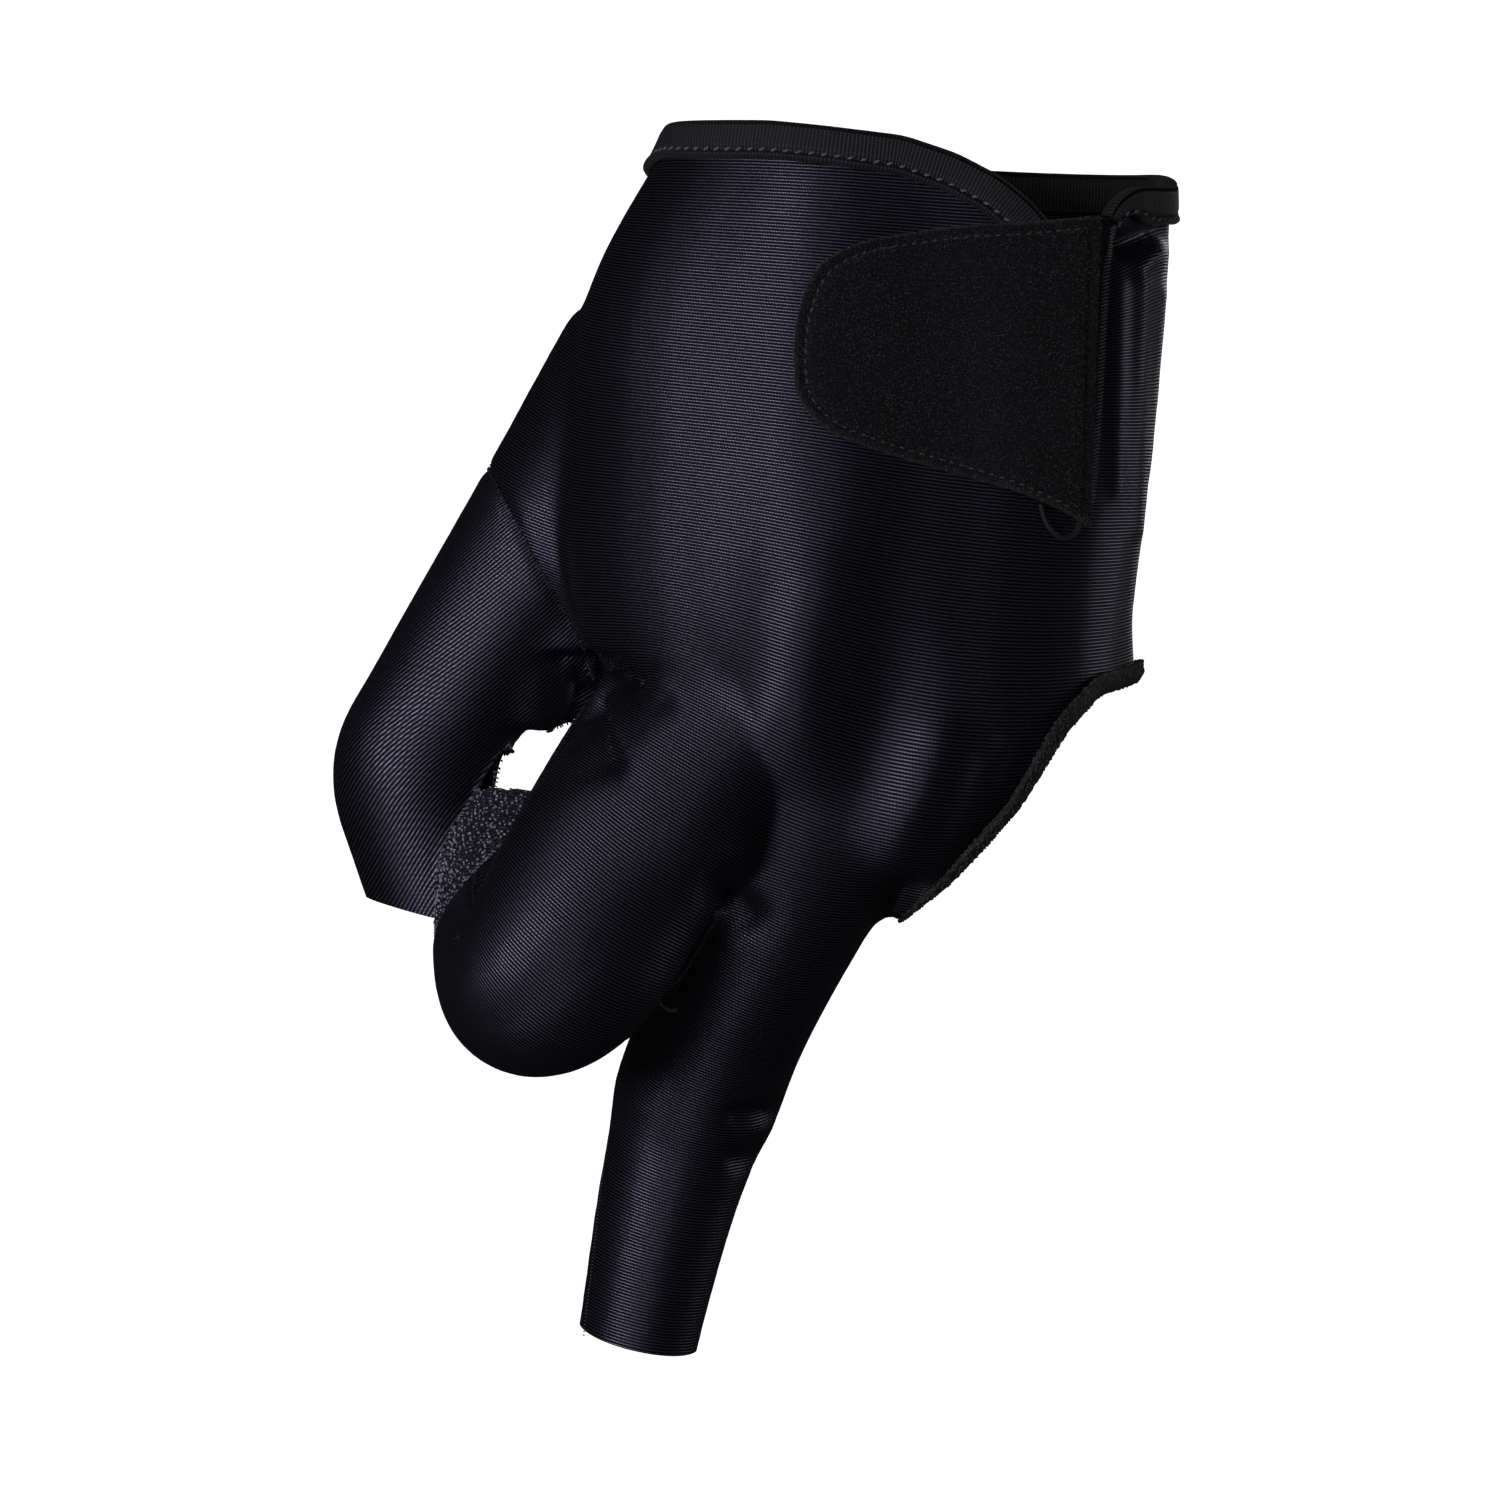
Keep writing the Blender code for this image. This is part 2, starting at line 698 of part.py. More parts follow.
def border_near(sheet, at):
    """The border loop of the sheet that comes nearest to a point, as point indices."""
    def reach(loop):
        return np.linalg.norm(sheet.points[loop] - at, axis=1).min()

    return min(border_loops(sheet), key=reach)


def thickened(sheet, outer, inner):
    """A closed body between two distances out from the sheet, each one number or one a point."""
    count = len(sheet.points)
    outer = np.broadcast_to(outer, count)[:, None]
    inner = np.broadcast_to(inner, count)[:, None]
    points = np.vstack([sheet.points + sheet.normals * outer, sheet.points + sheet.normals * inner])
    faces = sheet.faces.tolist() + (sheet.faces[:, ::-1] + count).tolist()
    for a, b in border(sheet.faces):
        faces.append([b, a, a + count, b + count])
    return points, faces


class Surface:
    """Finds the nearest point of a sheet and the way it faces there."""

    def __init__(self, sheet):
        self.sheet = sheet
        self.tree = BVHTree.FromPolygons(sheet.points.tolist(), sheet.faces.tolist())

    def nearest(self, point):
        found, _, face, _ = self.tree.find_nearest(Vector(point))
        a, b, c = self.sheet.points[self.sheet.faces[face]]
        found = np.array(found)
        whole = np.cross(b - a, c - a)
        size = whole @ whole
        v = np.cross(found - a, c - a) @ whole / size
        w = np.cross(b - a, found - a) @ whole / size
        shares = np.clip([1 - v - w, v, w], 0.0, 1.0)
        return found, unit(shares @ self.sheet.normals[self.sheet.faces[face]])


def evenly(path, step, closed):
    """The path at about equal steps."""
    if closed:
        path = np.vstack([path, path[:1]])
    lengths = np.concatenate([[0.0], np.cumsum(np.linalg.norm(np.diff(path, axis=0), axis=1))])
    count = max(4, round(lengths[-1] / step))
    at = np.linspace(0.0, lengths[-1], count + 1)
    if closed:
        at = at[:-1]
    return np.column_stack([np.interp(at, lengths, path[:, k]) for k in range(3)])


def relaxed(path, times, closed):
    for _ in range(times):
        before = np.roll(path, 1, axis=0)
        after = np.roll(path, -1, axis=0)
        eased = (before + 2 * path + after) / 4
        if not closed:
            eased[0], eased[-1] = path[0], path[-1]
        path = eased
    return path


def u_profile(width, tape, steps):
    """A folded tape over an edge: (distance into the cloth, level, side) with 1 the outer leg."""
    level = BINDING_GAP + tape
    top = -BINDING_GAP - tape
    depths = [width * step / steps for step in range(steps, -1, -1)]
    inner_depths = depths[:-1] + [-BINDING_GAP]
    lip = level * LIP_HALF
    outside = [(depth, level, 1) for depth in depths] + [(top, lip, 1)]
    outside += [(top, lip, -1)] + [(depth, level, -1) for depth in depths[::-1]]
    inside = [(depth, BINDING_GAP, -1) for depth in inner_depths]
    inside += [(depth, BINDING_GAP, 1) for depth in inner_depths[::-1]]
    return outside + inside


def wrapped(path, closed, surface, profile):
    """A tape folded over an edge of the cloth, following the cloth with both legs."""
    if closed:
        along = unit(np.roll(path, -1, axis=0) - np.roll(path, 1, axis=0))
    else:
        along = unit(np.gradient(path, axis=0))
    rings = []
    for at, ahead in zip(path, along):
        _, out = surface.nearest(at)
        away = unit(np.cross(ahead, out))
        ring = []
        for into, level, side in profile:
            if into > 0:
                foot, facing = surface.nearest(at - away * into)
            else:
                foot, facing = at - away * into, out
            lift = level if side > 0 else -CLOTH - level
            ring.append(foot + facing * lift)
        rings.append(ring)
    count = len(profile)
    points = np.array(rings).reshape(-1, 3)
    faces = []
    spans = len(rings) if closed else len(rings) - 1
    for i in range(spans):
        j = (i + 1) % len(rings)
        for k in range(count):
            m = (k + 1) % count
            faces.append([i * count + k, i * count + m, j * count + m, j * count + k])
    if not closed:
        faces.append([k for k in range(count)][::-1])
        faces.append([(len(rings) - 1) * count + k for k in range(count)])
    return points, faces


def between(path, start, end):
    """The stretch of a closed path from the point nearest to start to the one nearest to end."""
    first = int(np.argmin(np.linalg.norm(path - start, axis=1)))
    path = np.roll(path, -first, axis=0)
    last = int(np.argmin(np.linalg.norm(path - end, axis=1)))
    return path[: last + 1]


def shortened(path, at_start, at_end):
    """The path without a length at each end."""
    lengths = np.concatenate([[0.0], np.cumsum(np.linalg.norm(np.diff(path, axis=0), axis=1))])
    at = np.linspace(at_start, lengths[-1] - at_end, len(path))
    return np.column_stack([np.interp(at, lengths, path[:, k]) for k in range(3)])


def tube(path, radius):
    """A round cord along a path."""
    curve = bpy.data.curves.new("cord", "CURVE")
    curve.dimensions = "3D"
    spline = curve.splines.new("POLY")
    spline.points.add(len(path) - 1)
    for target, at in zip(spline.points, path):
        target.co = (*at, 1.0)
    curve.bevel_depth = radius
    curve.bevel_resolution = LOOP_ROUNDNESS
    curve.use_fill_caps = True
    obj = bpy.data.objects.new("cord", curve)
    bpy.context.scene.collection.objects.link(obj)
    mesh = evaluated(obj)
    bpy.data.objects.remove(obj)
    body = bmesh.new()
    body.from_mesh(mesh)
    bmesh.ops.remove_doubles(body, verts=body.verts, dist=radius / 100)
    points = np.array([tuple(vert.co) for vert in body.verts])
    faces = [[vert.index for vert in face.verts] for face in body.faces]
    body.free()
    return points, faces


def front_point(surface, corner):
    """The point of the back of the glove behind a corner of an outline."""
    at = place(corner.across, 0.0, corner.down)
    hit, _, _, _ = surface.tree.ray_cast(Vector((at[0], -HAND_LENGTH, at[2])), Vector((0, 1, 0)))
    return np.array(hit)


def draped(surface, outline):
    """An even sheet on the back of the glove that covers an outline."""
    low, high = outline.min(axis=0) - TAB_GRAIN, outline.max(axis=0) + TAB_GRAIN
    across = np.linspace(low[0], high[0], round((high[0] - low[0]) / TAB_GRAIN) + 1)
    up = np.linspace(low[1], high[1], round((high[1] - low[1]) / TAB_GRAIN) + 1)
    points = []
    for z in up:
        for x in across:
            points.append(front_point(surface, Corner(x / HAND_WIDTH, -z / HAND_LENGTH)))
    points = np.array(points)
    normals = np.array([surface.nearest(point)[1] for point in points])
    faces = []
    wide = len(across)
    for row in range(len(up) - 1):
        for k in range(row * wide, row * wide + wide - 1):
            faces += [[k, k + 1, k + wide + 1], [k, k + wide + 1, k + wide]]
    return Sheet(points, normals, np.array(faces))


def add(name, points, faces, into):
    mesh = bpy.data.meshes.new(name)
    mesh.from_pydata(np.asarray(points).tolist(), [], faces)
    body = bmesh.new()
    body.from_mesh(mesh)
    bmesh.ops.triangulate(body, faces=body.faces)
    bmesh.ops.recalc_face_normals(body, faces=body.faces)
    body.to_mesh(mesh)
    body.free()
    for face in mesh.polygons:
        face.use_smooth = True
    material = bpy.data.materials.new(name)
    material.use_nodes = True
    shader = material.node_tree.nodes["Principled BSDF"]
    shader.inputs["Base Color"].default_value = (*COLOURS[name], 1.0)
    shader.inputs["Roughness"].default_value = 0.6
    material.diffuse_color = (*COLOURS[name], 1.0)
    mesh.materials.append(material)
    obj = bpy.data.objects.new(name, mesh)
    into.objects.link(obj)
    return obj


def collection(name, hidden):
    made = bpy.data.collections.new(name)
    bpy.context.scene.collection.children.link(made)
    made.hide_render = hidden
    return made


def build():
    for obj in list(bpy.data.objects):
        bpy.data.objects.remove(obj)
    glove = collection("billiard_glove", False)
    guides = collection("guides", True)
    thumb = Limb(THUMB, FAR_HUB)
    web = Limb(WEB, FAR_HUB)
    index = Limb(INDEX, INDEX_HUB)
    middle = Limb(MIDDLE, FAR_HUB)
    ring = Limb(RING, FAR_HUB)
    little = Limb(LITTLE, FAR_HUB)
    fields = Fields(thumb, web, index, middle, ring, little)
    form = hand_form(fields.limbs, fields, guides)
    for obj in guides.objects:
        obj.hide_render = True
        obj.display_type = "WIRE"
    surface = Surface(form)

    # The cloth, open at the wrist, the slit, the finger opening and the three hems
    cloth = trimmed(form, lambda p: -fields.past_wrist(p))
    cloth = trimmed(cloth, lambda p: -fields.past_opening(p))
    hems = [
        (THUMB_HEM, [thumb], []),
        (INDEX_HEM, [index], [thumb, web]),
        (MIDDLE_HEM, [middle], []),
    ]
    for hem, own, others in hems:
        cloth = trimmed(cloth, lambda p: -fields.past_hem(hem, own, others, p))

    # The panels, with a gap at each seam
    thumb_sleeve, rest = seamed(cloth, fields.to_thumb, GAP)
    grip_panel, rest = seamed(rest, fields.to_grip, GAP)
    back_panel, palm_panel = seamed(rest, fields.to_back, GAP)
    add("back_panel", *thickened(back_panel, 0.0, -CLOTH), glove)
    add("palm_panel", *thickened(palm_panel, 0.0, -CLOTH), glove)
    add("thumb_sleeve", *thickened(thumb_sleeve, 0.0, -CLOTH), glove)
    add("index_grip_panel", *thickened(grip_panel, 0.0, -CLOTH), glove)

    # The bindings of the wrist, the slit and the finger opening
    top = front_point(surface, SLIT_TOP)
    foot = front_point(surface, SLIT_BOTTOM)
    edge = cloth.points[border_near(cloth, foot)]
    edge = relaxed(evenly(edge, BINDING_STEP / EDGE_PARTS, True), EDGE_EASING, True)
    wrist_path = between(edge, foot, top)
    slit_path = between(edge, top, foot)
    if len(wrist_path) < len(slit_path):
        wrist_path, slit_path = slit_path, wrist_path
    wrist_path = evenly(shortened(wrist_path, WRIST_END_ROOM, GAP * 2), BINDING_STEP, False)
    slit_path = evenly(shortened(slit_path, GAP * 2, SLIT_END_ROOM), SLIT_STEP, False)
    profile = u_profile(WRIST_TAPE_WIDTH, TAPE, 2)
    add("wrist_binding", *wrapped(wrist_path, False, surface, profile), glove)
    profile = u_profile(SLIT_TAPE_WIDTH, TAPE, 1)
    add("slit_binding", *wrapped(slit_path, False, surface, profile), glove)
    edge = cloth.points[border_near(cloth, place(*OPENING_MIDDLE))]
    edge = relaxed(evenly(edge, ROLL_STEP / EDGE_PARTS, True), EDGE_EASING, True)
    edge = evenly(edge, ROLL_STEP, True)
    profile = u_profile(ROLL_WIDTH, ROLL, 1)
    add("finger_opening_binding", *wrapped(edge, True, surface, profile), glove)

    # The strap tab, which lies on the back and rises over the slit
    outline = through(flat(TAB), TAB_PARTS)
    tab = trimmed(draped(surface, outline), lambda p: inside_outline(outline, p[:, [0, 2]]))
    slit = flat(WRIST_EDGE[SLIT_FIRST : SLIT_LAST + 1])
    near = np.min([to_segment(tab.points[:, [0, 2]], a, b) for a, b in zip(slit, slit[1:])], axis=0)
    right = tab.points[:, 0] > np.interp(tab.points[:, 2], slit[::-1, 1], slit[::-1, 0])
    reach = np.where(right, 0.0, near)
    over = 1 - smoothstep(WRIST_TAPE_WIDTH, WRIST_TAPE_WIDTH + TAB_EASE, reach)
    lift = GAP + (TAB_LIFT - GAP) * over
    add("strap_tab", *thickened(tab, lift + TAB_THICKNESS, lift), glove)

    # The loop of tape at the foot of the slit
    path = []
    for corner in LOOP:
        at = front_point(surface, corner)
        _, out = surface.nearest(at)
        path.append(at + out * LOOP_LIFT)
    add("slit_loop", *tube(through(path, LOOP_PARTS), LOOP_RADIUS), glove)


build()
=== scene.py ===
"""The looks of the billiard glove: satin knit, velour tab, bound edges, grip strip and stitches.

The hand's form is built again at a finer grain, from the same rows as the part's source. The origin
is the middle of the wrist opening, Z is up, and the back of the hand faces -Y. Lengths are in metres.
"""

import math
from collections import namedtuple

import bmesh
import bpy
import numpy as np
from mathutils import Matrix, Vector
from mathutils.bvhtree import BVHTree


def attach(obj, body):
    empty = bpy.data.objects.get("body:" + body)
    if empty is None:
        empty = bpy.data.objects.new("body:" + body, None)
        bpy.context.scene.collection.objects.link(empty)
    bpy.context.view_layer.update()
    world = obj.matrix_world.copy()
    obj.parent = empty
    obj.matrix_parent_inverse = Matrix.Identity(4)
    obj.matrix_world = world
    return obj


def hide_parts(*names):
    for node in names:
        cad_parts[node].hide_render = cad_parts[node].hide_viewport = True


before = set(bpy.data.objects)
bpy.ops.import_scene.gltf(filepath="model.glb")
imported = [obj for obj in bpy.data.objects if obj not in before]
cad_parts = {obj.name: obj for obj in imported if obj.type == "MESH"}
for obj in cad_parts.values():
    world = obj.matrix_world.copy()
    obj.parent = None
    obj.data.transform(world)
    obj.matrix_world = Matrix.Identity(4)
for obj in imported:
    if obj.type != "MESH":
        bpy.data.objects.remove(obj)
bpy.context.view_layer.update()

# Named sizes
HAND_LENGTH = 0.100
HAND_WIDTH = 0.080
HAND_DEPTH = 0.050
FINGER = 0.010
CLOTH = 0.0009
SEAM_GAP = 0.00006
SEAM_DIP = 0.00045
SEAM_DIP_WIDTH = 0.0008
SEAM_REACH = 0.0004
SEAM_STITCH_DEPTH = 0.6
TAPE = 0.0007
WRIST_TAPE_WIDTH = 0.0046
SLIT_TAPE_WIDTH = 0.0007
ROLL_WIDTH = 0.0016
ROLL = 0.0009
TAB_THICKNESS = 0.0020
TAB_LIFT = 0.0019
TAB_REST = 0.0003
TAB_EASE = 0.011
TAB_EDGE_ROUND = 0.0013
TAB_EDGE_SHARE = 0.35
TAB_GROOVE = 0.0007
TAB_GROOVE_WIDTH = 0.00050
LOOP_RADIUS = 0.00035
BINDING_GAP = 0.0003
WRIST_END_ROOM = 0.0045
SLIT_END_ROOM = 0.0030
SLIT_TOP_ROOM = 0.0006
TAPE_END = 0.0090
TAPE_END_SHARE = 0.30
PIPING = 0.0005
COURSE = 0.00044
WALE = 0.00042
RIB = 0.00052

# Fineness of the meshes
FORM_GRAIN = 0.00075
FORM_SMOOTHING = 62
SNAP = 0.3
TAPE_STEP = 0.0007
EDGE_PARTS = 2
EDGE_EASING = 12
INSET_EASING = 20
INSET_PARTS = 3
INSET_OFF_SIDE = 1.3
INSET_KEPT = 0.8
FEWEST_STEPS = 4
TAB_GRAIN = 0.00042

# Roundness of tapes, cords and balls, and how sharply the fields pass from one part to the next
LOOP_ROUNDNESS = 3
LIP_HALF = 0.33
LEG_PARTS = 3
TAPE_SHARP = 70
BALL_RINGS = 4
BALL_SIDES = 6
KNIT_SHARPNESS = 5
AXIS_SHARPNESS = 6
SEAM_SHARPNESS = 8
KNIT_ROUNDS = 500

# The wrist tape's section: its puffed face with a groove and a lip, at shares of its width, its
# round lower edge, and how far it bulges over the cloth's edge
Ridge = namedtuple("Ridge", "at height half_width")
WRIST_RIDGES = [Ridge(0.74, -0.00042, 0.00038), Ridge(0.90, 0.00022, 0.00040)]
TAPE_PUFF = 0.00015
LIP_ROUND = 0.0004
LIP_LEAST = 0.05
OVER = 0.0006
OUTER_PARTS = 24
OVER_PARTS = 8
INNER_POINTS = 7

# Threads, dots, loops and fibres; a stitch leans by a share of its own length
Stitch = namedtuple("Stitch", "pitch length width lean")
SEAM_STITCH = Stitch(0.00055, 0.0006, 0.00026, 0.15)
GRIP_SEAM_STITCH = Stitch(0.00070, 0.0009, 0.00036, 0.60)
WRIST_STITCH = Stitch(0.00178, 0.0011, 0.00044, 0.55)
WHIP_STITCH = Stitch(0.00048, 0.0013, 0.00024, 0.45)
TAB_STITCH = Stitch(0.00140, 0.0008, 0.00030, 0.20)
BAR_STITCH = Stitch(0.00050, 0.0007, 0.00022, 0.10)
SEAM_PARTS = 4
STITCH_AT = 6
WRIST_STITCH_LIFT = 0.00016
# Where the wrist tape's groove lies across it, and how wide the painted shade in the groove is
TAPE_GROOVE = 0.00150
TAPE_GROOVE_WIDTH = 0.00045
TAB_STITCH_INSET = 0.0014
DOT_PITCH = 0.00072
DOT = 0.00018
DOT_SCATTER = 0.00012
DOT_SHARE = 0.85
TERRY_LOOPS = 5200
TERRY_LOOP = 0.00046
FIBRES = 13000
FIBRE = 0.00034
FIBRE_WIDTH = 0.00008
FIBRE_LEAN = 0.7
DOT_SPREAD = (0.5, 1.4)
TERRY_LOOP_SHARE = 0.7

# Seeds of the random draws
DOT_SEED = 31
LOOP_SEED = 11
LOOP_LEAN_SEED = 12
FIBRE_SEED = 21
FIBRE_LEAN_SEED = 22

# The picture: its middle and width at the glove, and the studio round it
PICTURE_MIDDLE = (-0.0226, 0.0, -0.0781)
PICTURE_WIDTH = 0.2055
CAMERA_AWAY = 1.2
SENSOR = 36.0
FAR_CLIP = 20.0
FLOOR = -0.90
FLOOR_FRONT = -2.0
FLOOR_HALF = 2.5
FLOOR_BEND = 0.4
BEND_POINTS = 13
WALL = 1.0
WALL_TOP = 2.0
PAPER_GLOW = 0.90
BACKDROP = 0.95
WORLD_LIGHT = 0.012
Lamp = namedtuple("Lamp", "name at width height power")
LAMPS = [
    Lamp("key", (-0.72, -0.96, 0.02), 0.90, 0.35, 10.5),
    Lamp("high", (-0.57, -0.65, 0.77), 0.60, 0.40, 0.7),
    Lamp("front", (0.08, -1.17, 0.15), 0.45, 0.45, 1.2),
    Lamp("right", (1.13, 0.31, 0.03), 0.50, 0.50, 2.3),
    Lamp("low", (-0.26, -0.66, -0.78), 0.50, 0.50, 1.5),
    Lamp("behind", (0.50, 1.10, 0.25), 0.50, 0.50, 1.3),
]


def table(kind, rows):
    """Rows of numbers as named rows of one kind."""
    return [kind(*row) for row in rows]


# Sections of the palm. Down is a share of the hand's length from the wrist, left and right are
# shares of its width, front and back are shares of its depth, and bow carries the sides towards
# the palm.
PalmRow = namedtuple("PalmRow", "down left right front back bow")
PALM = table(PalmRow, [
    (-0.14, -0.400, 0.415, -0.41, 0.40, 0.00), (-0.06, -0.424, 0.425, -0.41, 0.40, 0.00),
    (0.00, -0.464, 0.440, -0.41, 0.40, 0.00), (0.10, -0.535, 0.438, -0.44, 0.39, 0.01),
    (0.22, -0.585, 0.424, -0.48, 0.37, 0.02), (0.36, -0.590, 0.408, -0.54, 0.32, 0.05),
    (0.50, -0.600, 0.388, -0.58, 0.25, 0.08), (0.62, -0.570, 0.368, -0.61, 0.17, 0.10),
    (0.74, -0.470, 0.345, -0.62, 0.10, 0.11), (0.86, -0.350, 0.230, -0.57, 0.06, 0.10),
    (0.95, -0.250, 0.080, -0.46, 0.04, 0.06),
])
PALM_SQUARENESS = 2.4
PALM_POINTS = 28

# Rows along the thumb, the fingers and the web. Across, toward the palm and down are shares of
# the hand's width, depth and length; wide and deep are half widths as shares of FINGER.
LimbRow = namedtuple("LimbRow", "across toward down wide deep")
THUMB = table(LimbRow, [
    (-0.430, 0.08, 0.24, 1.42, 1.40), (-0.544, 0.16, 0.40, 1.42, 1.42),
    (-0.694, 0.22, 0.57, 1.22, 1.26), (-0.812, 0.26, 0.72, 1.14, 1.14),
    (-0.868, 0.27, 0.81, 1.14, 1.10), (-0.852, 0.27, 0.91, 1.00, 1.00),
    (-0.826, 0.27, 0.99, 0.94, 0.94), (-0.812, 0.27, 1.08, 0.90, 0.90),
])
WEB = table(LimbRow, [
    (-0.520, 0.12, 0.46, 1.10, 0.90), (-0.600, 0.18, 0.62, 0.95, 0.80),
    (-0.680, 0.23, 0.735, 0.66, 0.66),
])
INDEX = table(LimbRow, [
    (-0.250, -0.28, 0.66, 1.30, 1.20), (-0.369, -0.34, 0.77, 1.58, 1.30),
    (-0.496, -0.46, 0.915, 1.51, 1.15), (-0.594, -0.50, 1.055, 1.46, 1.20),
    (-0.650, -0.38, 1.100, 1.26, 1.25), (-0.688, -0.16, 1.050, 1.14, 1.10),
    (-0.688, 0.02, 0.970, 1.05, 1.00), (-0.652, 0.16, 0.885, 0.93, 0.90),
    (-0.622, 0.23, 0.820, 0.88, 0.88),
])
MIDDLE = table(LimbRow, [
    (-0.062, -0.28, 0.70, 1.30, 1.20), (-0.144, -0.30, 0.84, 1.43, 1.25),
    (-0.257, -0.12, 1.04, 1.20, 1.15), (-0.328, 0.06, 1.16, 1.17, 1.15),
    (-0.375, 0.18, 1.26, 1.18, 1.15), (-0.398, 0.22, 1.32, 1.07, 1.08),
    (-0.431, 0.25, 1.42, 0.98, 1.00), (-0.470, 0.30, 1.57, 0.88, 0.93),
    (-0.494, 0.33, 1.67, 0.85, 0.90),
])
RING = table(LimbRow, [
    (0.068, -0.28, 0.72, 1.25, 1.20), (0.082, -0.12, 1.00, 1.10, 1.05),
])
LITTLE = table(LimbRow, [
    (0.240, -0.16, 0.58, 1.02, 1.10), (0.275, -0.04, 0.86, 0.95, 0.95),
])
# The middle of the loop that the index finger closes, which its back faces away from
INDEX_HUB = (-0.525, -0.04, 0.92)
# A hub far behind the palm, so that the back of the other fingers faces the front
FAR_HUB = (0.0, 60.0, 0.9)
LIMB_POINTS = 20
LIMB_PARTS = 5
PALM_PARTS = 2

# Folds that show on the back. Ends as shares of the hand's width and length, height and
# half width in metres; a height below zero is a groove.
Fold = namedtuple("Fold", "across_a down_a across_b down_b height half_width")
FOLDS = table(Fold, [
    (-0.165, 0.040, -0.155, 0.550, 0.0026, 0.0110), (-0.155, 0.580, -0.205, 0.700, 0.0018, 0.0095),
    (-0.215, 0.715, -0.335, 0.905, 0.0024, 0.0090), (0.020, 0.300, 0.020, 0.680, -0.0014, 0.0160),
    (0.030, 0.770, -0.030, 0.900, 0.0012, 0.0040), (-0.080, 0.560, -0.080, 0.820, -0.0012, 0.0060),
    (-0.330, 0.960, -0.290, 1.000, -0.0016, 0.0030), (-0.300, 1.283, -0.200, 1.277, -0.0012, 0.0016),
    (-0.300, 1.345, -0.200, 1.315, -0.0010, 0.0016),
])
# Sharper creases and the pull lines beside the slit, in the same terms
FINE_FOLDS = table(Fold, [
    (0.345, 0.096, 0.425, 0.078, -0.0022, 0.0017), (0.436, 0.080, 0.372, 0.130, 0.0011, 0.0013),
    (0.344, 0.130, 0.338, 0.430, 0.0005, 0.0013), (0.384, 0.150, 0.374, 0.480, 0.0005, 0.0013),
    (0.420, 0.160, 0.410, 0.400, 0.0004, 0.0013), (0.110, 0.800, 0.075, 0.880, 0.0005, 0.0016),
    (0.150, 0.770, 0.120, 0.840, 0.0004, 0.0014), (0.060, 0.900, 0.000, 0.975, 0.0004, 0.0016),
])
# Where the lines of the knit are pulled round: degrees, and how far that reaches
Turn = namedtuple("Turn", "across down degrees reach")
KNIT_TURNS = table(Turn, [
    (-0.608, 0.870, 24.0, 0.0130), (-0.265, 0.466, 5.0, 0.0350), (0.400, 0.130, -40.0, 0.0085),
])
# The knuckles stretch the knit: how much sparser its lines are there, from where to where down
KNUCKLE_STRETCH = 0.13
KNUCKLE_DOWN = (0.62, 0.82)
# The thumb's lines: their slope at its root and at its hem, in degrees, where the slope changes
# along it, and how much sparser they are than on the hand
THUMB_SLOPES = (40.0, 62.0)
THUMB_TURNS = (0.1090, 0.1240)
THUMB_STRETCH = 0.20
# The folds fade out where the cloth turns this far from the front
FOLD_FADE = 0.5
FINE_FOLD_FADE = 0.2

# Tucks: the cloth steps in on the right of the line from a to b, seen from the front, and comes
# back slowly
Tuck = namedtuple("Tuck", "across_a down_a across_b down_b depth back")
TUCKS = table(Tuck, [
    (-0.600, 0.652, -0.490, 0.658, 0.0032, 0.0055), (-0.490, 0.658, -0.428, 0.700, 0.0013, 0.0050),
    (-0.552, 0.700, -0.506, 0.780, 0.0022, 0.0040),
])
TUCK_EDGE = 0.0011
TUCK_END = 0.0026

# The edge of the wrist and the slit in the back, from the thumb side over the back to the
# little finger side, as shares of the hand's width and length
Corner = namedtuple("Corner", "across down")
WRIST_EDGE = table(Corner, [
    (-1.000, -0.066), (-0.420, -0.066), (-0.250, -0.060), (-0.025, -0.038), (0.062, -0.015),
    (0.132, 0.014), (0.182, 0.046), (0.220, 0.082), (0.236, 0.120), (0.240, 0.180), (0.240, 0.300),
    (0.236, 0.440), (0.260, 0.470), (0.284, 0.452), (0.297, 0.330), (0.306, 0.205), (0.313, 0.120),
    (0.322, 0.070), (0.338, 0.044), (0.368, 0.026), (0.420, 0.022), (1.000, 0.022),
])
SLIT_BOTTOM = Corner(0.260, 0.470)
SLIT_TOP = Corner(0.323, 0.068)
# The rows of WRIST_EDGE that make the slit's side under the tab
SLIT_FIRST = 5
SLIT_LAST = 11
WRIST_SIDE_BLEND = 0.16

# The edge of the opening for the ring and little fingers
FINGER_OPENING = table(Corner, [
    (0.600, 0.655), (0.400, 0.660), (0.365, 0.680), (0.300, 0.697), (0.240, 0.750), (0.162, 0.853),
    (0.042, 0.962), (-0.026, 1.010), (-0.062, 1.034), (-0.040, 1.120), (0.000, 1.300), (0.600, 1.300),
])
OPENING_MIDDLE = (0.162, -0.40, 0.853)
OPENING_CORNER = Corner(-0.050, 1.020)
ROLL_END = 0.0200
ROLL_END_SHARE = 0.12
ROLL_END_DEPTH = 0.25

# The outline of the strap tab
TAB = table(Corner, [
    (0.294, 0.063), (0.180, 0.074), (0.070, 0.079), (-0.024, 0.089), (-0.100, 0.102), (-0.165, 0.132),
    (-0.198, 0.190), (-0.208, 0.262), (-0.196, 0.318), (-0.145, 0.358), (-0.060, 0.384), (0.043, 0.408),
    (0.147, 0.433), (0.226, 0.459), (0.271, 0.482),
])
TAB_PARTS = 3

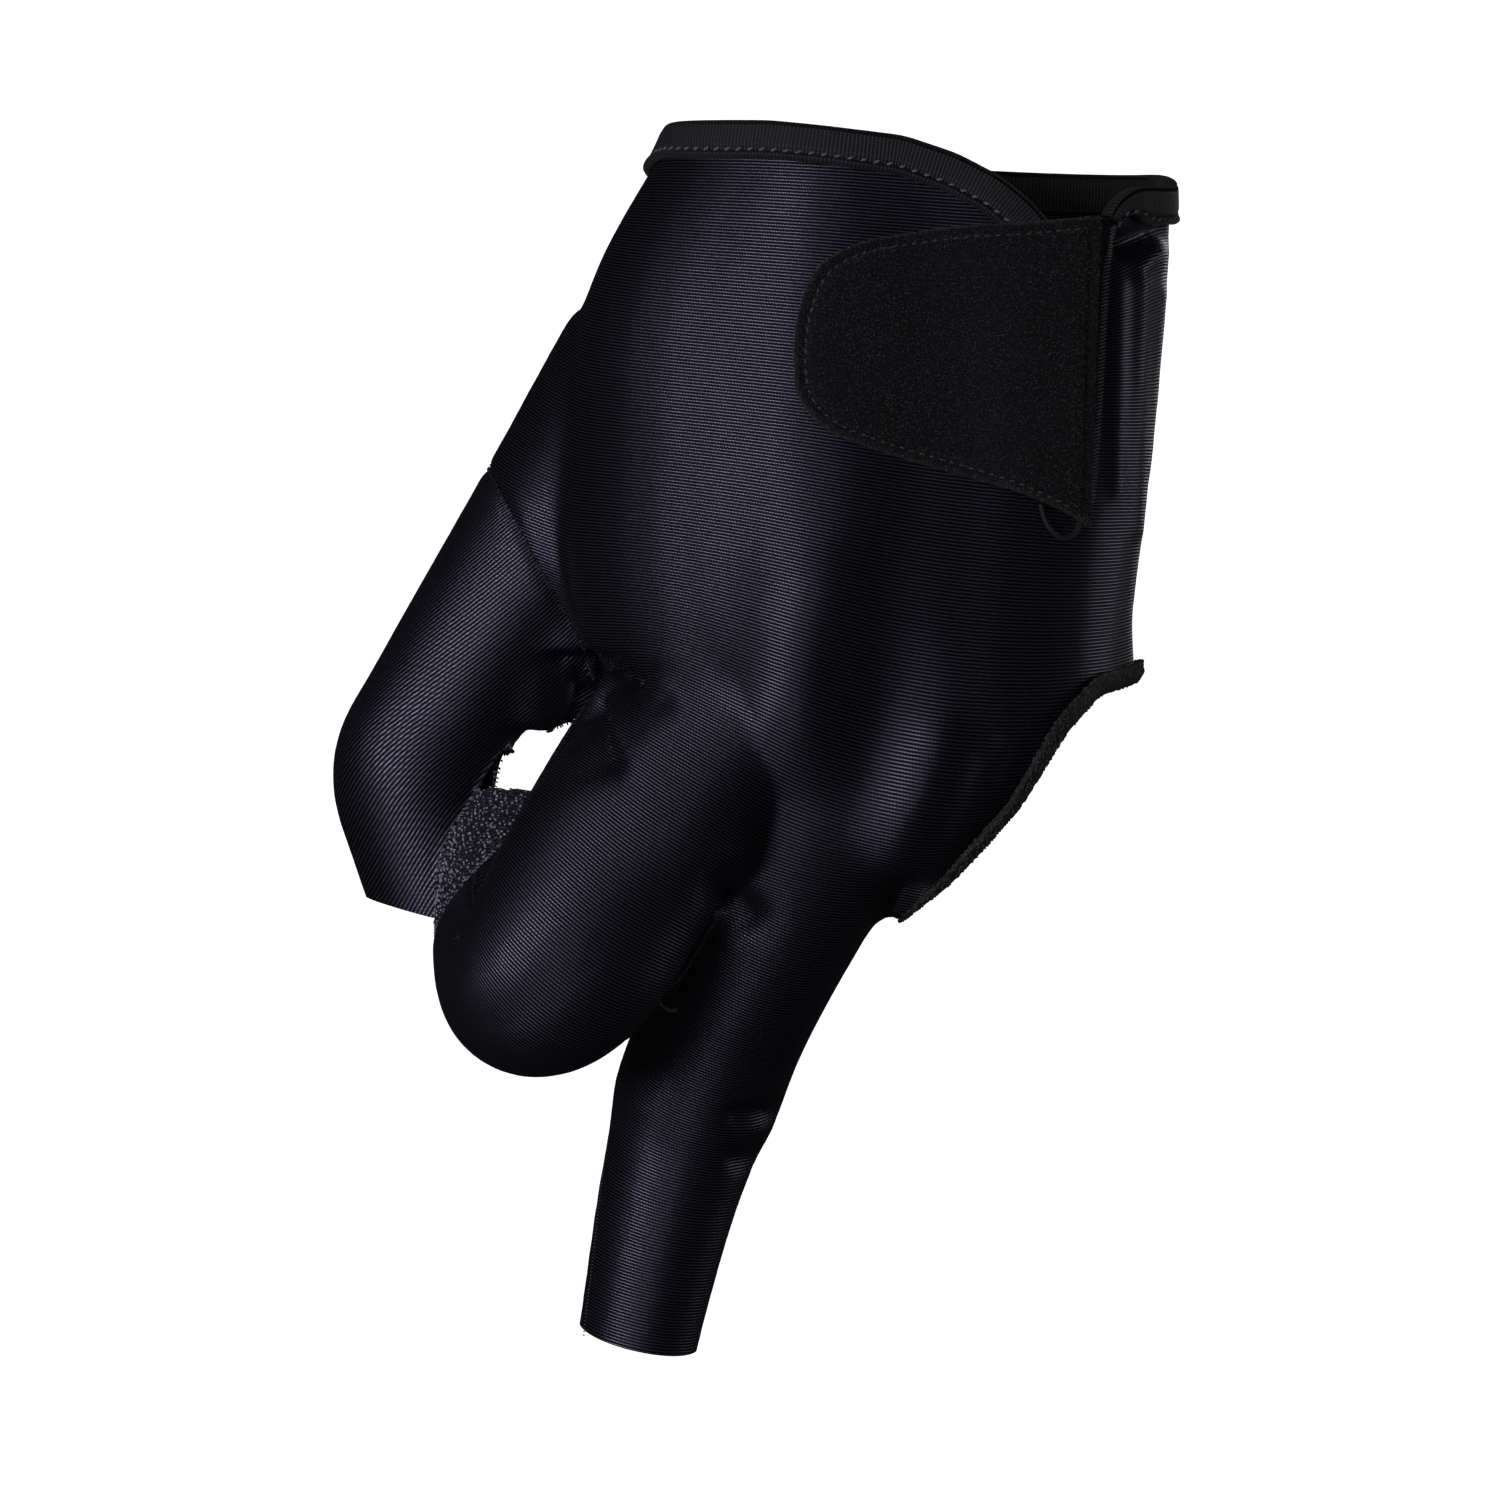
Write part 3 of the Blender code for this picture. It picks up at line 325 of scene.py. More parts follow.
# Seams that show from the front: the index sleeve's right side, the middle sleeve's left side
SHOWN_SEAMS = {
    "index_side_bars": table(Corner, [
        (-0.330, 0.985), (-0.362, 1.040), (-0.395, 1.085), (-0.435, 1.128), (-0.488, 1.168),
    ]),
    "middle_side_bars": table(Corner, [
        (-0.527, 1.315), (-0.540, 1.390), (-0.552, 1.470), (-0.563, 1.540), (-0.570, 1.590),
    ]),
}

# The small loop of tape at the foot of the slit
LOOP = table(Corner, [
    (0.200, 0.452), (0.205, 0.468), (0.215, 0.484), (0.229, 0.495), (0.243, 0.497), (0.256, 0.490),
    (0.264, 0.476),
])
LOOP_LIFT = 0.0012
LOOP_PARTS = 4

# Planes of hems and seams: a point in the plane, and the way the finger leaves the hem or the
# seam's own piece lies
Plane = namedtuple("Plane", "across toward down out")
THUMB_HEM = Plane(-0.830, 0.27, 1.008, (-0.25, 0.04, -0.965))
HEM_REACH = 1.4
INDEX_HEM = Plane(-0.646, 0.17, 0.860, (0.20, 0.25, 0.95))
MIDDLE_HEM = Plane(-0.474, 0.30, 1.593, (-0.22, 0.20, -0.955))
GRIP_START = 4
THUMB_SEAM = Plane(-0.650, 0.10, 0.520, (-0.880, 0.0, -0.475))
GRIP_SEAM = Plane(-0.733, -0.10, 0.949, (-0.765, 0.30, 0.570))

# Guards against dividing by nothing, and the smallest triangle that counts on the knit
ALMOST_ZERO = 1e-30
ON_AXIS = 1e-6
FLATTEST = 1e-9

Sheet = namedtuple("Sheet", "points normals faces")


def place(across, toward, down):
    """A point given in shares of the hand's width, depth and length."""
    return np.array([across * HAND_WIDTH, toward * HAND_DEPTH, -down * HAND_LENGTH])


def flat(corners):
    """The corners of an outline as points (x, z)."""
    return np.array([[c.across * HAND_WIDTH, -c.down * HAND_LENGTH] for c in corners])


def unit(vectors):
    vectors = np.asarray(vectors, float)
    return vectors / np.maximum(np.linalg.norm(vectors, axis=-1, keepdims=True), ALMOST_ZERO)


def from_least(least, share):
    """A share from 0 to 1, raised to start at the least."""
    return least + (1 - least) * share


def smoothstep(low, high, value):
    t = np.clip((value - low) / (high - low), 0.0, 1.0)
    return t * t * (3.0 - 2.0 * t)


def through(rows, between):
    """Points on a smooth curve through the rows, with the rows themselves among them."""
    rows = [np.array(row, float) for row in rows]
    rows = [2 * rows[0] - rows[1]] + rows + [2 * rows[-1] - rows[-2]]
    found = []
    for a, b, c, d in zip(rows, rows[1:], rows[2:], rows[3:]):
        for step in range(between):
            t = step / between
            bend = (2 * a - 5 * b + 4 * c - d) * t * t + (3 * b - a - 3 * c + d) * t**3
            found.append(0.5 * (2 * b + (c - a) * t + bend))
    found.append(rows[-2])
    return np.array(found)


# The form inside the cloth
class Limb:
    """A finger or the web: an axis, half widths, and the way its back faces."""

    def __init__(self, rows, hub):
        curve = through(rows, LIMB_PARTS)
        self.axis = np.array([place(*row[:3]) for row in curve])
        self.wide = curve[:, 3] * FINGER
        self.deep = curve[:, 4] * FINGER
        self.along = unit(np.gradient(self.axis, axis=0))
        out = unit(self.axis - place(*hub))
        out = out - np.sum(out * self.along, axis=1)[:, None] * self.along
        self.back = unit(out)
        self.side = np.cross(self.along, self.back)

    def rings(self):
        for at, side, back, wide, deep in zip(self.axis, self.side, self.back, self.wide, self.deep):
            turn = np.arange(LIMB_POINTS) * 2 * math.pi / LIMB_POINTS
            yield at + np.outer(np.cos(turn), side * wide) + np.outer(np.sin(turn), back * deep)

    def parts(self, points):
        """Each span of the axis, with each point's share along it, way from it and half widths out."""
        for i, start in enumerate(self.axis[:-1]):
            span = self.axis[i + 1] - start
            t = np.clip((points - start) @ span / (span @ span), 0.0, 1.0)
            away = points - start - t[:, None] * span
            half = self.wide[i] * (1 - t) + self.wide[i + 1] * t
            yield i, span, t[:, None], away, np.linalg.norm(away, axis=1) / half

    def run(self, points):
        """For each point: how far out it is in half widths, and the way the limb runs there."""
        reach = np.full(len(points), np.inf)
        total = np.zeros((len(points), 3))
        for _, span, _, _, distance in self.parts(points):
            reach = np.minimum(reach, distance)
            total += (distance + ON_AXIS)[:, None] ** -AXIS_SHARPNESS * unit(span)
        return reach, unit(total)

    def measure(self, points):
        """For each point: how far out it is in half widths, and how far to the back in metres."""
        reach = np.full(len(points), np.inf)
        toward_back = np.zeros(len(points))
        for i, _, t, away, distance in self.parts(points):
            back = self.back[i] * (1 - t) + self.back[i + 1] * t
            nearer = distance < reach
            reach = np.where(nearer, distance, reach)
            toward_back = np.where(nearer, np.sum(away * back, axis=1), toward_back)
        return reach, toward_back


def palm_rings():
    curve = through(PALM, PALM_PARTS)
    power = 2 / PALM_SQUARENESS
    for down, left, right, front, back, bow in curve:
        ring = []
        for k in range(PALM_POINTS):
            turn = 2 * math.pi * k / PALM_POINTS
            c, s = math.cos(turn), math.sin(turn)
            across = (left + right) / 2 + math.copysign(abs(c) ** power, c) * (right - left) / 2
            toward = (front + back) / 2 + math.copysign(abs(s) ** power, s) * (back - front) / 2
            ring.append(place(across, toward + bow * c * c, down))
        yield ring


def lofted(name, rings):
    """A closed body through rings of points."""
    body = bmesh.new()
    rings = [[body.verts.new(point) for point in ring] for ring in rings]
    for ring, following in zip(rings, rings[1:]):
        for k in range(len(ring)):
            after = (k + 1) % len(ring)
            body.faces.new((ring[k], ring[after], following[after], following[k]))
    body.faces.new(rings[0][::-1])
    body.faces.new(rings[-1])
    bmesh.ops.recalc_face_normals(body, faces=body.faces)
    mesh = bpy.data.meshes.new(name)
    body.to_mesh(mesh)
    body.free()
    return mesh


def linked(name, data):
    """A new object in the scene."""
    obj = bpy.data.objects.new(name, data)
    bpy.context.scene.collection.objects.link(obj)
    return obj


def evaluated(obj):
    """The mesh of an object with its modifiers, in place of the object."""
    bpy.context.view_layer.update()
    graph = bpy.context.evaluated_depsgraph_get()
    mesh = bpy.data.meshes.new_from_object(obj.evaluated_get(graph))
    bpy.data.objects.remove(obj)
    return mesh


def freed(body):
    """The points and faces of a body that is then done with."""
    points = np.array([tuple(vert.co) for vert in body.verts])
    faces = [[vert.index for vert in face.verts] for face in body.faces]
    body.free()
    return points, faces


def arrays_of(mesh):
    mesh.calc_loop_triangles()
    points = np.empty(len(mesh.vertices) * 3)
    mesh.vertices.foreach_get("co", points)
    faces = np.empty(len(mesh.loop_triangles) * 3, np.int32)
    mesh.loop_triangles.foreach_get("vertices", faces)
    return points.reshape(-1, 3), faces.reshape(-1, 3)


def edges_of(faces):
    """The three directed edges of each triangle."""
    return np.vstack([faces[:, [0, 1]], faces[:, [1, 2]], faces[:, [2, 0]]])


def crossed(corners):
    """The way each triangle faces, as long as twice its area."""
    return np.cross(corners[:, 1] - corners[:, 0], corners[:, 2] - corners[:, 0])


def normals_of(points, faces):
    across = crossed(points[faces])
    normals = np.zeros_like(points)
    for k in range(3):
        np.add.at(normals, faces[:, k], across)
    return unit(normals)


def to_segment(points, a, b):
    """The distance of each point to the segment from a to b."""
    span = b - a
    t = np.clip((points - a) @ span / max(span @ span, ALMOST_ZERO), 0.0, 1.0)
    return np.linalg.norm(points - a - t[:, None] * span, axis=1)


def ends_of(line):
    """Both ends of a fold or a tuck as points (x, z)."""
    return flat([Corner(*line[:2]), Corner(*line[2:4])])


def folded(points, normals):
    """The points with the folds of the back pressed in or raised."""
    shadow = points[:, [0, 2]]
    height = np.zeros(len(points))
    for folds, fade in ((FOLDS, FOLD_FADE), (FINE_FOLDS, FINE_FOLD_FADE)):
        facing = smoothstep(0.0, fade, -normals[:, 1])
        for fold in folds:
            away = to_segment(shadow, *ends_of(fold)) / fold.half_width
            height += fold.height * facing * np.exp(-(away**2))
    facing = smoothstep(0.0, FINE_FOLD_FADE, -normals[:, 1])
    for tuck in TUCKS:
        a, b = ends_of(tuck)
        span = unit(b - a)
        past = (shadow - a) @ np.array([span[1], -span[0]])
        along = (shadow - a) @ span
        off_end = np.maximum(0.0, np.maximum(-along, along - np.linalg.norm(b - a)))
        share = np.exp(-((off_end / TUCK_END) ** 2)) * smoothstep(-TUCK_EDGE, TUCK_EDGE, past)
        height -= tuck.depth * facing * share * np.exp(-np.maximum(past, 0.0) / tuck.back)
    return points + normals * height[:, None]


def hand_form(limbs):
    """The surface of the hand in the glove, as one fine sheet without openings."""
    joined = bmesh.new()
    for mesh in [lofted("palm", palm_rings())] + [lofted("limb", limb.rings()) for limb in limbs]:
        joined.from_mesh(mesh)
    mesh = bpy.data.meshes.new("hand_form")
    joined.to_mesh(mesh)
    joined.free()
    obj = linked("hand_form", mesh)
    remesh = obj.modifiers.new("one skin", "REMESH")
    remesh.mode = "VOXEL"
    remesh.voxel_size = FORM_GRAIN
    smooth = obj.modifiers.new("even", "SMOOTH")
    smooth.factor = 0.5
    smooth.iterations = FORM_SMOOTHING
    points, faces = arrays_of(evaluated(obj))
    points = folded(points, normals_of(points, faces))
    return Sheet(points, normals_of(points, faces), faces)


# Fields: each gives, for points, a signed distance to an edge or a seam
def inside_outline(outline, shadow):
    """The distance of points (x, z) to a closed outline, above zero inside it."""
    distance = np.full(len(shadow), np.inf)
    inside = np.zeros(len(shadow), bool)
    for a, b in zip(outline, np.roll(outline, -1, axis=0)):
        distance = np.minimum(distance, to_segment(shadow, a, b))
        spans = (a[1] > shadow[:, 1]) != (b[1] > shadow[:, 1])
        rise = b[1] - a[1] if b[1] != a[1] else ALMOST_ZERO
        crossing = a[0] + (shadow[:, 1] - a[1]) * (b[0] - a[0]) / rise
        inside ^= spans & (shadow[:, 0] < crossing)
    return np.where(inside, distance, -distance)


def beyond(plane, points):
    """How far points lie past a hem or a seam."""
    return (points - place(*plane[:3])) @ unit(plane.out)


def turned(guide, angle):
    """A guide turned in the plane of the picture, so that its lines lean down to the right."""
    x, y, z = guide.T
    return np.column_stack([
        x * np.cos(angle) + z * np.sin(angle), y, z * np.cos(angle) - x * np.sin(angle)
    ])


def thumb_courses(points):
    """As Fields.courses, for the thumb's own panel."""
    along = smoothstep(*THUMB_TURNS, -0.5 * points[:, 0] - points[:, 2])
    slope = np.radians(THUMB_SLOPES[0] * (1 - along) + THUMB_SLOPES[1] * along)
    guide = np.column_stack([np.sin(slope), np.zeros(len(points)), -np.cos(slope)])
    return guide * (1 - THUMB_STRETCH)


class Fields:
    def __init__(self, limbs):
        self.limbs = limbs
        self.thumb, self.web, self.index, self.middle, _, _ = limbs
        self.index_base = Limb(INDEX[:GRIP_START], INDEX_HUB)
        self.index_end = Limb(INDEX[GRIP_START:], INDEX_HUB)
        edge = flat(WRIST_EDGE)
        top = np.array([[HAND_WIDTH, HAND_LENGTH], [-HAND_WIDTH, HAND_LENGTH]])
        self.wrist_front = np.vstack([edge, top])
        self.wrist_back = np.vstack([edge[:1], edge[-1:], top])
        self.opening = flat(FINGER_OPENING)

    def palm(self, points):
        """As Limb.measure, for the palm."""
        rows = np.array(PALM)
        down = -points[:, 2] / HAND_LENGTH
        left, right, front, back, bow = (
            np.interp(down, rows[:, 0], rows[:, k]) for k in range(1, 6)
        )
        across = (points[:, 0] / HAND_WIDTH - (left + right) / 2) / ((right - left) / 2)
        middle = (front + back) / 2 + bow * np.clip(across, -1, 1) ** 2
        toward = points[:, 1] / HAND_DEPTH - middle
        past = np.maximum(0.0, down - rows[-1, 0]) * HAND_LENGTH / FINGER
        reach = np.hypot(across, toward / ((back - front) / 2)) + past
        return reach, -toward * HAND_DEPTH

    def to_back(self, points):
        """Above zero on the back of the hand and fingers, zero on the side seams."""
        total = np.zeros(len(points))
        weight = np.zeros(len(points))
        for reach, value in [self.palm(points)] + [limb.measure(points) for limb in self.limbs]:
            share = (reach + ON_AXIS) ** -SEAM_SHARPNESS
            total += share * value
            weight += share
        return total / weight

    def courses(self, points):
        """The way across the courses of the knit: down the palm, and along each limb."""
        reach, _ = self.palm(points)
        own = (reach + ON_AXIS) ** -KNIT_SHARPNESS
        total = own[:, None] * (0.0, 0.0, -1.0)
        weight = own.copy()
        for limb in self.limbs:
            reach, run = limb.run(points)
            share = (reach + ON_AXIS) ** -KNIT_SHARPNESS
            total = total + share[:, None] * run
            weight += share
        angle = np.zeros(len(points))
        for turn in KNIT_TURNS:
            away = np.linalg.norm(points[:, [0, 2]] - flat([turn])[0], axis=1)
            angle += math.radians(turn.degrees) * np.exp(-((away / turn.reach) ** 2))
        total = unit(turned(total, angle))
        stretch = smoothstep(*KNUCKLE_DOWN, -points[:, 2] / HAND_LENGTH) * own / weight
        return total * (1 - KNUCKLE_STRETCH * stretch)[:, None]

    def of_limb(self, own, others, points):
        """Above zero nearer to one limb than to the others."""
        mine = np.min([limb.measure(points)[0] for limb in own], axis=0)
        theirs = np.min([limb.measure(points)[0] for limb in others], axis=0)
        return (theirs - mine) * FINGER / 2

    def past_wrist(self, points):
        shadow = points[:, [0, 2]]
        front = inside_outline(self.wrist_front, shadow)
        back = inside_outline(self.wrist_back, shadow)
        toward = points[:, 1] / HAND_DEPTH
        share = smoothstep(-WRIST_SIDE_BLEND, WRIST_SIDE_BLEND, toward)
        return front * (1 - share) + back * share

    def past_opening(self, points):
        return inside_outline(self.opening, points[:, [0, 2]])

    def past_hem(self, hem, own, others, points):
        near = HEM_REACH * FINGER - np.linalg.norm(points - place(*hem[:3]), axis=1)
        past = np.minimum(beyond(hem, points), near)
        return np.minimum(past, self.of_limb(own, others, points)) if others else past

    def to_thumb(self, points):
        own = self.of_limb([self.thumb, self.web], [self.index], points)
        return np.minimum(beyond(THUMB_SEAM, points), own)

    def to_grip(self, points):
        others = [self.index_base, self.thumb, self.web, self.middle]
        own = self.of_limb([self.index_end], others, points)
        return np.minimum(beyond(GRIP_SEAM, points), own)


# Cutting and thickening the cloth
def snapped(sheet, field):
    """The sheet and the field's value at each of its points, zero where a point was moved.

    Corners close to the field's zero line are moved onto it. One on the sheet's border only
    slides along the border.
    """
    points, normals, faces = sheet.points.copy(), sheet.normals.copy(), sheet.faces
    height = field(points)
    ends = np.unique(np.sort(edges_of(faces)), axis=0)
    ends = ends[(height[ends[:, 0]] > 0) != (height[ends[:, 1]] > 0)]
    share = height[ends[:, 0]] / (height[ends[:, 0]] - height[ends[:, 1]])
    nearness = np.minimum(share, 1 - share)
    order = np.argsort(-nearness, kind="stable")
    order = order[nearness[order] < SNAP]
    a, b, t = ends[order, 0], ends[order, 1], share[order]
    corner = np.where(t < 0.5, a, b)
    rim = set(map(frozenset, border(faces)))
    on_rim = set().union(*rim)
    free = [c not in on_rim or frozenset((i, j)) in rim for c, i, j in zip(corner, a, b)]
    a, b, t, corner = a[free], b[free], t[free], corner[free]
    t = t[:, None]
    points[corner] = sheet.points[a] * (1 - t) + sheet.points[b] * t
    normals[corner] = unit(sheet.normals[a] * (1 - t) + sheet.normals[b] * t)
    height = field(points)
    height[corner] = 0.0
    return Sheet(points, normals, faces), height


def seamed(sheet, field):
    """The two parts of the sheet on each side of a seam, with a gap between them."""
    sheet, height = snapped(sheet, field)
    return cut(sheet, height - SEAM_GAP / 2), cut(sheet, -height - SEAM_GAP / 2)


def trimmed(sheet, field):
    """The part of the sheet where the field is above zero, cut along its zero line."""
    return cut(*snapped(sheet, field))


def cut(sheet, height):
    """The part of the sheet where the height given for each point is above zero."""
    points, normals, faces = sheet
    sign = np.sign(height)[faces]
    whole = (sign.min(axis=1) >= 0) & (sign.max(axis=1) > 0)
    split = (sign.min(axis=1) < 0) & (sign.max(axis=1) > 0)
    kept = faces[whole].tolist()
    extra_points, extra_normals, made = [], [], {}

    def crossing(i, j):
        key = (min(i, j), max(i, j))
        if key not in made:
            i, j = key
            t = height[i] / (height[i] - height[j])
            made[key] = len(points) + len(extra_points)
            extra_points.append(points[i] * (1 - t) + points[j] * t)
            extra_normals.append(normals[i] * (1 - t) + normals[j] * t)
        return made[key]

    for face in faces[split]:
        ring = []
        for i, j in zip(face, np.roll(face, -1)):
            if height[i] >= 0:
                ring.append(int(i))
            if height[i] * height[j] < 0:
                ring.append(crossing(int(i), int(j)))
        if len(ring) == 3:
            kept.append(ring)
        elif len(ring) == 4:
            kept.append([ring[0], ring[1], ring[2]])
            kept.append([ring[0], ring[2], ring[3]])
    if extra_points:
        points = np.vstack([points, extra_points])
        normals = np.vstack([normals, extra_normals])
    return largest(Sheet(points, unit(normals), unpinched(np.array(kept))))


def fans(faces, corner):
    """The faces round a corner, as groups joined over edges that meet at it."""
    left = np.flatnonzero((faces == corner).any(axis=1)).tolist()
    groups = []
    while left:
        group = [left.pop()]
        rim = set(faces[group[0]].tolist()) - {corner}
        grown = True
        while grown:
            grown = False
            for face in list(left):
                ends = set(faces[face].tolist()) - {corner}
                if ends & rim:
                    group.append(face)
                    rim |= ends
                    left.remove(face)
                    grown = True
        groups.append(group)
    return groups


def unpinched(faces):
    """The faces without the smaller of two parts that meet only at a corner."""
    while True:
        starts, counts = np.unique([a for a, _ in border(faces)], return_counts=True)
        pinched = starts[counts > 1]
        if not len(pinched):
            return faces
        loose = []
        for corner in pinched:
            groups = sorted(fans(faces, corner), key=len)
            loose += [face for group in groups[:-1] for face in group]
        faces = np.delete(faces, sorted(set(loose)), axis=0)


def largest(sheet):
    """The sheet without loose scraps and unused points."""
    label = np.arange(len(sheet.points))
    while True:
        lowest = label[sheet.faces].min(axis=1)
        before = label.copy()
        for k in range(3):
            np.minimum.at(label, before[sheet.faces[:, k]], lowest)
        label = label[label]
        label = label[label]
        if (label == before).all():
            break
    owners, counts = np.unique(label[sheet.faces[:, 0]], return_counts=True)
    faces = sheet.faces[label[sheet.faces[:, 0]] == owners[np.argmax(counts)]]
    used, index = np.unique(faces, return_inverse=True)
    return Sheet(sheet.points[used], sheet.normals[used], index.reshape(-1, 3))


def border(faces):
    """The directed edges that only one face has."""
    edges = edges_of(faces).astype(np.int64)
    many = edges.max() + 1
    back = edges[:, 1] * many + edges[:, 0]
    return edges[~np.isin(edges[:, 0] * many + edges[:, 1], back)].tolist()


def border_loops(sheet):
    following = dict(map(tuple, border(sheet.faces)))
    loops = []
    while following:
        start = min(following)
        loop, at = [start], following.pop(start)
        while at != start:
            loop.append(at)
            at = following.pop(at)
        loops.append(loop)
    return loops


def border_near(sheet, at):
    """The border loop of the sheet that comes nearest to a point, as point indices."""
    def reach(loop):
        return np.linalg.norm(sheet.points[loop] - at, axis=1).min()

    return min(border_loops(sheet), key=reach)


def thickened(sheet, outer, inner):
    """A closed body between two distances out from the sheet, each one number or one a point."""
    count = len(sheet.points)
    outer = np.broadcast_to(outer, count)[:, None]
    inner = np.broadcast_to(inner, count)[:, None]
    points = np.vstack([sheet.points + sheet.normals * outer, sheet.points + sheet.normals * inner])
    faces = sheet.faces.tolist() + (sheet.faces[:, ::-1] + count).tolist()
    for a, b in border(sheet.faces):
        faces.append([b, a, a + count, b + count])
    return points, faces


class Surface:
    """Finds the nearest point of a sheet and the way it faces there."""

    def __init__(self, sheet):
        self.sheet = sheet
        self.tree = BVHTree.FromPolygons(sheet.points.tolist(), sheet.faces.tolist())

    def nearest(self, point):
        found, _, face, _ = self.tree.find_nearest(Vector(point))
        a, b, c = self.sheet.points[self.sheet.faces[face]]
        found = np.array(found)
        whole = np.cross(b - a, c - a)
        size = whole @ whole
        v = np.cross(found - a, c - a) @ whole / size
        w = np.cross(b - a, found - a) @ whole / size
        shares = np.clip([1 - v - w, v, w], 0.0, 1.0)
        return found, unit(shares @ self.sheet.normals[self.sheet.faces[face]])


# Paths
def running(path):
    """The length along the path up to each of its points."""
    return np.concatenate([[0.0], np.cumsum(np.linalg.norm(np.diff(path, axis=0), axis=1))])


def resampled(path, at):
    """The path at the given lengths along it."""
    lengths = running(path)
    return np.column_stack([np.interp(at, lengths, values) for values in path.T])


def evenly(path, step, closed):
    """The path at about equal steps."""
    if closed:
        path = np.vstack([path, path[:1]])
    length = running(path)[-1]
    at = np.linspace(0.0, length, max(FEWEST_STEPS, round(length / step)) + 1)
    return resampled(path, at[:-1] if closed else at)


def shortened(path, at_start, at_end):
    """The path without a length at each end."""
    return resampled(path, np.linspace(at_start, running(path)[-1] - at_end, len(path)))


def relaxed(path, times):
    """A closed path with its corners eased."""
    for _ in range(times):
        path = (np.roll(path, 1, axis=0) + 2 * path + np.roll(path, -1, axis=0)) / 4
    return path


def directions(path, closed):
    """The way the path runs at each of its points."""
    if closed:
        return unit(np.roll(path, -1, axis=0) - np.roll(path, 1, axis=0))
    return unit(np.gradient(path, axis=0))


def edge_path(sheet, at):
    """The edge of the sheet nearest to a point, as an eased closed path."""
    edge = sheet.points[border_near(sheet, at)]
    return relaxed(evenly(edge, TAPE_STEP / EDGE_PARTS, True), EDGE_EASING)


# Tapes and cords


def u_profile(width, tape):
    """A folded tape over an edge: (distance into the cloth, level, side) with 1 the outer leg."""
    level = BINDING_GAP + tape
    top = -BINDING_GAP - tape
    depths = [width * step / LEG_PARTS for step in range(LEG_PARTS, -1, -1)]
    inner_depths = depths[:-1] + [-BINDING_GAP]
    lip = level * LIP_HALF
    outside = [(depth, level, 1) for depth in depths] + [(top, lip, 1)]
    outside += [(top, lip, -1)] + [(depth, level, -1) for depth in depths[::-1]]
    inside = [(depth, BINDING_GAP, -1) for depth in inner_depths]
    inside += [(depth, BINDING_GAP, 1) for depth in inner_depths[::-1]]
    return outside + inside


def wrapped(path, closed, surface, profile, shares):
    """A tape folded over an edge of the cloth, with each leg's share of its width at each point."""
    rings = []
    for at, ahead, share in zip(path, directions(path, closed), shares):
        _, out = surface.nearest(at)
        away = unit(np.cross(ahead, out))
        ring = []
        depth_share = from_least(ROLL_END_DEPTH, share) if closed else 1.0
        for into, level, side in profile:
            if into > 0:
                foot, facing = surface.nearest(at - away * into * share)
            else:
                foot, facing = at - away * into * depth_share, out
            lift = level * depth_share if side > 0 else -CLOTH - level * depth_share
            ring.append(foot + facing * lift)
        rings.append(ring)
    count = len(profile)
    points = np.array(rings).reshape(-1, 3)
    faces = []
    spans = len(rings) if closed else len(rings) - 1
    for i in range(spans):
        j = (i + 1) % len(rings)
        for k in range(count):
            m = (k + 1) % count
            faces.append([i * count + k, i * count + m, j * count + m, j * count + k])
    if not closed:
        faces.append([k for k in range(count)][::-1])
        faces.append([(len(rings) - 1) * count + k for k in range(count)])
    return points, faces


def between(path, start, end):
    """The stretch of a closed path from the point nearest to start to the one nearest to end."""
    first = int(np.argmin(np.linalg.norm(path - start, axis=1)))
    path = np.roll(path, -first, axis=0)
    last = int(np.argmin(np.linalg.norm(path - end, axis=1)))
    return path[: last + 1]


def tube(path, radius):
    """A round cord along a path."""
    curve = bpy.data.curves.new("cord", "CURVE")
    curve.dimensions = "3D"
    spline = curve.splines.new("POLY")
    spline.points.add(len(path) - 1)
    for target, at in zip(spline.points, path):
        target.co = (*at, 1.0)
    curve.bevel_depth = radius
    curve.bevel_resolution = LOOP_ROUNDNESS
    curve.use_fill_caps = True
    body = bmesh.new()
    body.from_mesh(evaluated(linked("cord", curve)))
    bmesh.ops.remove_doubles(body, verts=body.verts, dist=radius / 100)
    return freed(body)


def front_point(surface, corner):
    """The point of the back of the glove behind a corner of an outline."""
    at = place(corner.across, 0.0, corner.down)
    hit, _, _, _ = surface.tree.ray_cast(Vector((at[0], -HAND_LENGTH, at[2])), Vector((0, 1, 0)))
    return np.array(hit)


def draped(surface, outline):
    """An even sheet on the back of the glove that covers an outline."""
    low, high = outline.min(axis=0) - TAB_GRAIN, outline.max(axis=0) + TAB_GRAIN
    across = np.linspace(low[0], high[0], round((high[0] - low[0]) / TAB_GRAIN) + 1)
    up = np.linspace(low[1], high[1], round((high[1] - low[1]) / TAB_GRAIN) + 1)
    points = []
    for z in up:
        for x in across:
            points.append(front_point(surface, Corner(x / HAND_WIDTH, -z / HAND_LENGTH)))
    points = np.array(points)
    normals = np.array([surface.nearest(point)[1] for point in points])
    faces = []
    wide = len(across)
    for row in range(len(up) - 1):
        for k in range(row * wide, row * wide + wide - 1):
            faces += [[k, k + 1, k + wide + 1], [k, k + wide + 1, k + wide]]
    return Sheet(points, normals, np.array(faces))


def ball():
    """The points and faces of a ball of radius 1, which stitches are scaled from.

    The faces are sorted, since their order out of the triangulation differs from run to run.
    """
    body = bmesh.new()
    bmesh.ops.create_uvsphere(body, u_segments=BALL_SIDES, v_segments=BALL_RINGS, radius=1.0)
    bmesh.ops.triangulate(body, faces=body.faces)
    points, faces = freed(body)
    starts = [face.index(min(face)) for face in faces]
    return points, sorted(face[k:] + face[:k] for face, k in zip(faces, starts))


